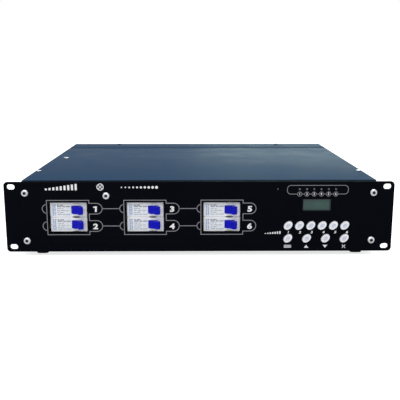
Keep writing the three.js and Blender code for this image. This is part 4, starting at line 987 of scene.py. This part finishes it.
COVER_SHEET, COVER_BEND = 0.0012, 0.0009
TRAY_SHEET, TRAY_BEND = 0.0015, 0.0022
TRAY_LOW, TRAY_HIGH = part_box("chassis_tray")
FAN = middle("fan_frame")
VENT_PITCH, VENT_WIDTH = 0.0062, 0.0032
SIDE_VENT_Z, SIDE_VENT_LENGTH = 0.045, 0.05
FAN_VENT_RADIUS = 0.027
FLOOR_VENT_PITCH, FLOOR_VENT_LENGTH = 0.016, 0.034
CUT_DEPTH, OVERRUN = 0.004, 0.001
OPENING_HALF = (0.0268, 0.02275)
SCREW_INSET, EARTH_INSET, REAR_INSET = 0.0057, 0.0186, 0.0813


def cover(name, node):
    low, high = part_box(node)
    corners = mirrored([(-COVER_HALF, low.z), (-COVER_HALF, COVER_TOP)])
    made = plate(sheet_section(corners, COVER_SHEET, COVER_BEND), low.y, high.y, bevel=0.00018)
    piece(name, "case", [(made, CASE_BLUE)], [node])


cover("cover_main", "top_cover")
cover("cover_wiring", "wiring_cover")


def cover_screw(name, x, y, material, radius=0.003):
    """Pan-head screw with a cross recess on the cover, and a black ring under its head as painted shadow."""
    high = COVER_SCREW
    head = lathe([
        (0, high - 0.0011), (radius * 0.5, high - 0.0009, cross), (radius * 0.56, high, cross),
        (radius * 0.7, high), (radius * 0.88, high * 0.86), (radius, high * 0.5), (radius, 0), (0, 0),
    ], (x, y, COVER_TOP), "z")
    # Painted shadow: a black ring a little wider than the head, standing for the shade round its lower edge.
    shadow_washer = lathe(sleeve(0, radius + 0.0004, 0, high * 0.55), (x, y, COVER_TOP), "z")
    piece(name, "case", [(head, material), (shadow_washer, BLACK_PLASTIC)])


cover_screw("cover_screw_left", SCREW_INSET - COVER_HALF, FRONT + 0.09, STEEL)
cover_screw("cover_screw_right", COVER_HALF - SCREW_INSET, FRONT + 0.09, STEEL)
cover_screw("earth_screw", EARTH_INSET - COVER_HALF, FRONT + 0.215, STEEL, 0.004)
cover_screw("rear_screw_left", REAR_INSET - COVER_HALF, REAR - 0.011, DARK_STEEL)
cover_screw("rear_screw_right", COVER_HALF - REAR_INSET, REAR - 0.011, DARK_STEEL)


def tray():
    """Folded tray with a front wall, a lip and a thin black strip of painted shadow under the cover's front
    edge.
    """
    half = TRAY_HIGH.x
    flange, inside = half - 0.018, half - TRAY_SHEET
    floor_top, flange_low = TRAY_LOW.z + TRAY_SHEET, TRAY_HIGH.z - TRAY_SHEET
    corners = mirrored([(flange, TRAY_HIGH.z), (half, TRAY_HIGH.z), (half, TRAY_LOW.z)])
    shell = plate(sheet_section(corners, TRAY_SHEET, TRAY_BEND), TRAY_LOW.y, TRAY_HIGH.y, bevel=0.0002)
    low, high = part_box("control_board")
    half_x, half_z = OPENING_HALF
    openings = [rectangle(x - half_x, PAIR_Z - half_z, x + half_x, PAIR_Z + half_z) for x in COLUMN_XS]
    openings.append(rectangle(low.x - 0.003, low.z - 0.0015, high.x + 0.003, high.z + 0.0008))
    openings += [circle(at.x, at.z, SCREW_HOLE, 24) for at in PANEL_SCREWS]
    wall = plate(rectangle(-inside, floor_top, inside, TRAY_HIGH.z), TRAY_LOW.y, TRAY_LOW.y + TRAY_SHEET,
                 holes=openings, bevel=0.0002)
    lip = block((-flange, TRAY_LOW.y, flange_low), (flange, FRONT + 0.034, TRAY_HIGH.z), 0.0002)
    # Painted shadow: a thin black sheet over the lip, up to the cover's front edge, standing for the shadow
    # in the gap there.
    shade_strip = block((0.001 - half, TRAY_LOW.y, TRAY_HIGH.z - 0.0002),
                  (half - 0.001, FRONT + 0.0205, TRAY_HIGH.z + 0.0003), 0.0001)
    ears = [block((x, TRAY_HIGH.y - TRAY_SHEET, floor_top), (x + 0.0105, TRAY_HIGH.y, flange_low), 0.0002)
            for x in (-inside, inside - 0.0105)]
    made = piece("tray", "case", painted(CASE_BLUE, shell, *ears) + painted(INNER_BLACK_AND_SHADE, wall, lip, shade_strip),
                 ["chassis_tray"])
    cut_by(made, vents())


def vents():
    """Round-ended ventilation slots as solids to cut out of the tray."""
    half, sink = TRAY_HIGH.x, middle("heat_sink")
    made = []

    def vent(u, v, length, start, axis):
        outline = slot(u, v, length, VENT_WIDTH, 6, upright=True)
        made.append(plate(outline, start, start + CUT_DEPTH, axis, bevel=0.0))

    for i in range(9):
        vent(FAN.y + (i - 4) * VENT_PITCH, SIDE_VENT_Z, SIDE_VENT_LENGTH, -half - OVERRUN, "x")
    for i in range(8):
        offset = (i - 3.5) * VENT_PITCH
        length = 2 * math.sqrt(FAN_VENT_RADIUS ** 2 - offset ** 2)
        vent(FAN.y + offset, FAN.z, length, half + OVERRUN - CUT_DEPTH, "x")
    for i in range(23):
        vent(sink.x + (i - 11) * FLOOR_VENT_PITCH, sink.y, FLOOR_VENT_LENGTH, TRAY_LOW.z - OVERRUN, "z")
    return made


tray()

FOOT_PROFILE = [
    (0.002, 0.0077), (0.0083, 0.0077), (0.0085, 0.0074), (0.0076, 0.0014), (0.0073, 0.0005), (0.0066, 0),
    (0.0043, 0), (0.004, 0.0003), (0.004, 0.004), (0.002, 0.004),
]
FOOT_SCREW = [(0, 0.0032), (0.0012, 0.0032, cross), (0.0014, 0.0024, cross), (0.0024, 0.0024),
              (0.0033, 0.003), (0.0034, 0.004), (0, 0.004)]


def squared(u, v):
    """Pushes a ring outwards to a square with round corners."""
    turn = math.atan2(v, u)
    reach = (abs(math.cos(turn)) ** 5 + abs(math.sin(turn)) ** 5) ** -0.2
    return u * reach, v * reach


for number in range(1, 5):
    at = middle(f"foot_{number}")
    foot = painted(RUBBER, lathe(FOOT_PROFILE, (at.x, at.y, 0), "z", place=squared))
    foot += painted(STEEL, lathe(FOOT_SCREW, (at.x, at.y, 0), "z"))
    piece(f"rubber_foot_{number}", "case", foot, [f"foot_{number}"])

# Rear panel, gland and connectors

REAR_SHEET = 0.0015
GLAND = middle("supply_gland")
LOAD = middle("load_connector_housing")
SIGNAL_SOCKETS = ["signal_in_socket", "signal_out_socket"]


def rear_panel():
    low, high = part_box("rear_panel")
    holes = [circle(GLAND.x, GLAND.z, 0.0158), rounded_at(LOAD.x, LOAD.z, 0.0423, 0.0153, 0.001)]
    holes += [circle(middle(node).x, middle(node).z, 0.0123) for node in SIGNAL_SOCKETS]
    sheet = plate(rounded_face(low, high, 0.0006), high.y - REAR_SHEET, high.y, holes=holes, bevel=0.0002)
    half = high.x - 0.0235
    flange = block((-half, low.y, high.z - REAR_SHEET), (half, high.y - 0.001, high.z), 0.0002)
    head = [(0, 0.0004), (0.0015, 0.0006, cross), (0.0017, 0.0014, cross), (0.0022, 0.0014),
            (0.0027, 0.0011), (0.003, 0.0006), (0.003, 0), (0, 0)]
    screws = [lathe(head, (x, high.y, z))
              for x in (low.x + 0.006, high.x - 0.006) for z in (low.z + 0.012, high.z - 0.016)]
    piece("rear_plate", "case", painted(PANEL_BLACK, sheet, flange) + painted(DARK_STEEL, *screws),
          ["rear_panel"])


def ribbed(angle):
    """Factor that gives a ring fine grip ribs."""
    return 1 + 0.012 * max(math.cos(24 * angle), -0.4)


def cable_gland():
    """Cable gland: lock nut inside, hexagon body, ribbed cap with a domed mouth and a rubber seal."""
    inside, end = (corner.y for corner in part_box("supply_gland"))
    nut = [(0.0156, inside), (0.0187, inside, hexagon), (0.019, inside + 0.0004, hexagon),
           (0.019, inside + 0.0046, hexagon), (0.0187, inside + 0.005, hexagon), (0.0156, inside + 0.005)]
    body = [
        (0.0102, inside), (0.0155, inside), (0.0155, SEAT), (0.0177, SEAT, hexagon),
        (0.018, SEAT + 0.0005, hexagon), (0.018, SEAT + 0.0065, hexagon), (0.0176, SEAT + 0.007, hexagon),
        (0.015, SEAT + 0.007), (0.015, SEAT + 0.009), (0.0102, SEAT + 0.009),
    ]
    cap = [
        (0.0112, SEAT + 0.009), (0.0174, SEAT + 0.009, ribbed), (0.0179, SEAT + 0.0096, ribbed),
        (0.0179, SEAT + 0.022, ribbed), (0.0172, SEAT + 0.0236, ribbed), (0.0158, end - 0.0028),
        (0.0143, end - 0.0012), (0.0124, end - 0.0002), (0.012, end), (0.0112, end - 0.0004),
    ]
    seal = [(0.01, end - 0.004), (0.0113, end - 0.004), (0.0113, end - 0.0008), (0.0105, end - 0.0005),
            (0.01, end - 0.0012)]
    at = (GLAND.x, 0, GLAND.z)
    nut, body, seal = (lathe(profile, at, steps=72) for profile in (nut, body, seal))
    parts = painted(BLACK_PLASTIC, nut, body, lathe(cap, at, steps=144)) + painted(RUBBER, seal)
    piece("cable_gland", "case", parts, ["supply_gland"])


def load_housing():
    """Housing of the load connector, with its two side pins and four screws."""
    x, z = LOAD.x, LOAD.z
    pivot = PIVOTS["locking_lever"]
    face, rim = SEAT + 0.003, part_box("load_connector_housing")[1].y
    cavity = rounded_at(x, z, 0.042, 0.015, 0.002)
    flange = plate(rounded_at(x, z, 0.052, 0.023, 0.004), SEAT, face, holes=[cavity], bevel=0.0006)
    walls = plate(rounded_at(x, z, 0.046, 0.019, 0.004), SEAT, rim, holes=[cavity], bevel=0.0006, steps=3)
    pin = [(0, 0), (0.0025, 0), (0.0025, 0.0058), (0.0021, 0.0064), (0, 0.0064)]
    pins = [moved(lathe(pin, (0, 0, 0), "z", 32), Matrix.Translation((x + side * 0.044, pivot.y, pivot.z))
                  @ Matrix.Rotation(side * math.pi / 2, 4, "Y")) for side in (-1, 1)]
    head = [(0, 0.0002), (0.001, 0.0004, cross), (0.0011, 0.0013, cross), (0.0016, 0.0013),
            (0.0021, 0.0009), (0.0023, 0.0004), (0.0023, 0), (0, 0)]
    screws = [lathe(head, (x + dx, face, z + dz), steps=32)
              for dx in (-0.049, 0.049) for dz in (-0.0195, 0.0195)]
    piece("load_housing", "case", painted(CAST_METAL, flange, walls) + painted(STEEL, *pins, *screws),
          ["load_connector_housing"])


def load_insert():
    """Insert of the load connector, with two rows of contacts in its holes."""
    low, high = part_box("load_connector_insert")
    places = [(LOAD.x + (i - 3.5) * 0.0085, LOAD.z + level * 0.0055) for i in range(8) for level in (-1, 1)]
    outline, seat = rounded_face(low, high, 0.0016), high.y - 0.01
    face = plate(outline, seat, high.y, holes=[circle(u, v, 0.0016, 20) for u, v in places])
    body = plate(outline, low.y, seat - 0.0001, bevel=0.0004)
    contacts = [lathe(sleeve(0.0009, 0.0014, seat, high.y - 0.0012), (u, 0, v), steps=16) for u, v in places]
    piece("load_insert", "case", painted(GREY_PLASTIC, face, body) + painted(CONTACT, *contacts),
          ["load_connector_insert"])


def load_lever():
    """Locking lever of the load connector: two arms on its pins, a strap and a grip."""
    low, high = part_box("load_connector_lever")
    y, z = PIVOTS["locking_lever"].yz
    sheet, half, corner = 0.002, 0.005, 0.002
    outline = [
        *arc(y, z, 0.0055, 0, 180, 24), (y - half, z - 0.008),
        *arc(y - half + corner, low.z + corner, corner, 180, 270, 6),
        *arc(y + half - corner, low.z + corner, corner, 270, 360, 6), (y + half, z - 0.008),
    ]
    arms = [plate(outline, x, x + sheet, "x", holes=[circle(y, z, 0.0028, 32)], bevel=0.0004)
            for x in (low.x, high.x - sheet)]
    strap = block((low.x + 0.0004, y - half, low.z), (high.x - 0.0004, y + half, low.z + sheet), 0.0006, 3)
    grip = plate(slot(LOAD.x, y, 0.05, 0.0066), low.z - 0.0005, low.z + 0.0025, "z", bevel=0.0008, steps=3)
    piece("locking_bail", "locking_lever", painted(STEEL, *arms, strap) + painted(BLACK_PLASTIC, grip),
          ["load_connector_lever"])


def signal_socket(node, name, female):
    """Panel socket: a flange with two screws, a barrel, and pins in a cup or a core with holes."""
    x, z = middle(node).x, middle(node).z
    face = SEAT + 0.002
    bottom, back = face - 0.015, face - 0.022
    flange = plate(rounded_at(x, z, 0.013, 0.0155, 0.003), SEAT, face, holes=[circle(x, z, 0.0095, 64)],
                   bevel=0.0004)
    barrel = lathe(sleeve(0.0095, 0.0118, bottom, SEAT), (x, 0, z), steps=64)
    base = lathe([(0, back), (0.0114, back), (0.0118, back + 0.0004), (0.0118, bottom), (0, bottom)],
                 (x, 0, z), steps=64)
    parts = painted(BLACK_PLASTIC, flange, base) + painted(DARK_STEEL, barrel)
    places = arc(x, z, 0.0044, 30, 270, 2)
    if female:
        holes = [circle(u, v, 0.0014, 20) for u, v in places]
        parts += painted(BLACK_PLASTIC, plate(circle(x, z, 0.0075, 64), bottom, face - 0.0002, holes=holes))
        contact, steps = sleeve(0.0009, 0.0013, face - 0.009, face - 0.001), 16
    else:
        contact, steps = [(0, bottom), (0.0012, bottom), (0.0012, face - 0.0028), (0.0008, face - 0.0019),
                          (0, face - 0.0018)], 20
    parts += painted(CONTACT, *(lathe(contact, (u, 0, v), steps=steps) for u, v in places))
    head = [(0, 0.0001), (0.001, 0.0002, cross), (0.0011, 0.0007, cross), (0.0018, 0.0007),
            (0.0023, 0.0004), (0.0024, 0), (0, 0)]
    parts += painted(STEEL, *(lathe(head, (x + dx, face, z + dz), steps=32)
                              for dx, dz in ((-0.0098, 0.0122), (0.0098, -0.0122))))
    piece(name, "case", parts, [node])


def latch():
    """Release tab of the signal output, with a ridge for the thumb."""
    low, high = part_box("signal_out_latch")
    ridge = block((low.x + 0.0006, high.y - 0.0012, high.z - 0.0003),
                  (high.x - 0.0006, high.y - 0.0004, high.z + 0.0004), 0.0002)
    piece("release_tab", "latch", painted(STEEL, block(low, high, 0.0004, 3), ridge),
          ["signal_out_latch"])


rear_panel()
cable_gland()
load_housing()
load_insert()
load_lever()
for node, name, female in zip(SIGNAL_SOCKETS, ("signal_inlet", "signal_outlet"), (False, True)):
    signal_socket(node, name, female)
latch()

# Fan, chokes and the other inner pieces


def fan_housing():
    """Fan frame with four struts, a hub and the shaft that the rotor turns on."""
    low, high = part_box("fan_frame")
    y, z = FAN.yz
    half, rim, hole_at = (high.y - low.y) / 2, 0.004, 0.025
    bore = circle(y, z, 0.0285, 96)
    holes = [circle(y + dy, z + dz, 0.002, 20) for dy in (-hole_at, hole_at) for dz in (-hole_at, hole_at)]
    rims = [plate(rounded_at(y, z, half, half, 0.004), x, x + rim, "x", holes=[bore, *holes], bevel=0.0004)
            for x in (low.x, high.x - rim)]
    tube = plate(circle(y, z, 0.0297, 96), low.x + 0.0035, high.x - 0.0035, "x", holes=[bore], bevel=0.0001)
    at = (low.x, y, z)
    hub = lathe([(0, 0), (0.0116, 0), (0.012, 0.0004), (0.012, 0.003), (0, 0.003)], at, "x")
    shaft = lathe([(0, 0), (0.002, 0), (0.002, 0.0146), (0.0017, 0.015), (0, 0.015)], at, "x", 24)
    struts = [moved(block((0, 0.0115, -0.002), (0.003, 0.029, 0.002), 0.0005),
                    Matrix.Translation(at) @ Matrix.Rotation(math.radians(45 + 90 * i), 4, "X"))
              for i in range(4)]
    piece("fan_housing", "case", painted(BLACK_PLASTIC, *rims, tube, hub, *struts) + painted(STEEL, shaft),
          ["fan_frame"])


def impeller():
    """Hub with seven curved blades about the fan's axis."""
    low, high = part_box("fan_rotor")
    depth = high.x - low.x
    hub = lathe([(0.0023, 0), (0.0115, 0), (0.012, 0.0005), (0.012, depth - 0.0012), (0.0108, depth),
                 (0, depth), (0, 0.0123), (0.0023, 0.0123)], (low.x, FAN.y, FAN.z), "x")
    blades = [blade(low.x + depth / 2, math.radians(360 * i / 7)) for i in range(7)]
    piece("fan_impeller", "rotor", painted(BLACK_PLASTIC, hub, *blades), ["fan_rotor"],
          smooth=50)


def blade(x, turn):
    """One blade: a curved sheet from the hub to the tip, thick in the middle of its chord."""
    rows, columns = 8, 10
    root, tip, chord = 0.0116, 0.0268, 0.0165
    made = bmesh.new()
    sheets = []
    for side in (-1, 1):
        sheet = []
        for r in range(rows + 1):
            radius = root + (tip - root) * r / rows
            pitch = math.radians(40 - 12 * r / rows)
            line = []
            for c in range(columns + 1):
                t = c / columns - 0.5
                swell = 1 - 4 * t * t
                rise = 0.0012 * swell + side * (0.0004 + 0.0005 * swell)
                along, across = turned(chord * t, rise, pitch)
                angle = turn + across / radius
                line.append(made.verts.new((x + along, FAN.y + radius * math.cos(angle),
                                            FAN.z + radius * math.sin(angle))))
            sheet.append(line)
        band(made, *sheet, closed=False)
        sheets.append(sheet)
    a, b = sheets
    for end in (0, -1):
        band(made, a[end], b[end], closed=False)
        band(made, [line[end] for line in a], [line[end] for line in b], closed=False)
    return tidied(made)


def choke(index):
    """Toroidal choke: a rounded ring wound with copper wire."""
    low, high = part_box(f"choke_{index}")
    centre = (low + high) / 2
    outer, inner, half = (high.x - low.x) / 2, 0.008, (high.z - low.z) / 2
    ring, reach = (outer + inner) / 2, (outer - inner) / 2
    turns, per_turn, around = 36, 6, 28
    made = bmesh.new()
    rings = []
    for i in range(turns * per_turn):
        angle = 2 * math.pi * i / (turns * per_turn)
        swell = 0.93 + 0.07 * abs(math.sin(math.pi * i / per_turn))
        line = []
        for k in range(around):
            turn = 2 * math.pi * k / around
            u, w = (math.copysign(abs(t) ** 0.6, t) * swell for t in (math.cos(turn), math.sin(turn)))
            radius = ring + u * reach
            line.append(made.verts.new((centre.x + radius * math.cos(angle),
                                        centre.y + radius * math.sin(angle), centre.z + w * half)))
        rings.append(line)
    band(made, *rings, rings[0])
    piece(f"wound_choke_{index}", "case", painted(COPPER, tidied(made)), [f"choke_{index}"],
          smooth=60)


def dress(node, material, bevel):
    """Gives a kept CAD node its material, and rounds its edges a little."""
    kept = bpy.data.objects[node]
    for material_slot in kept.material_slots:
        material_slot.link = "OBJECT"
        material_slot.material = material
    modifier = kept.modifiers.new("edges", "BEVEL")
    modifier.width = bevel
    modifier.segments = 2
    modifier.limit_method = "ANGLE"
    modifier.angle_limit = math.radians(40)


fan_housing()
impeller()
for number in CHANNELS:
    choke(number)
dress("divider_wall", CASE_BLUE, 0.0002)
dress("rail_bracket", SHEET_STEEL, 0.0002)
dress("control_board", BOARD, 0.0001)
dress("power_board", BOARD, 0.0001)
dress("heat_sink", FINS, 0.0002)
dress("supply_terminals", GREY_PLASTIC, 0.0003)
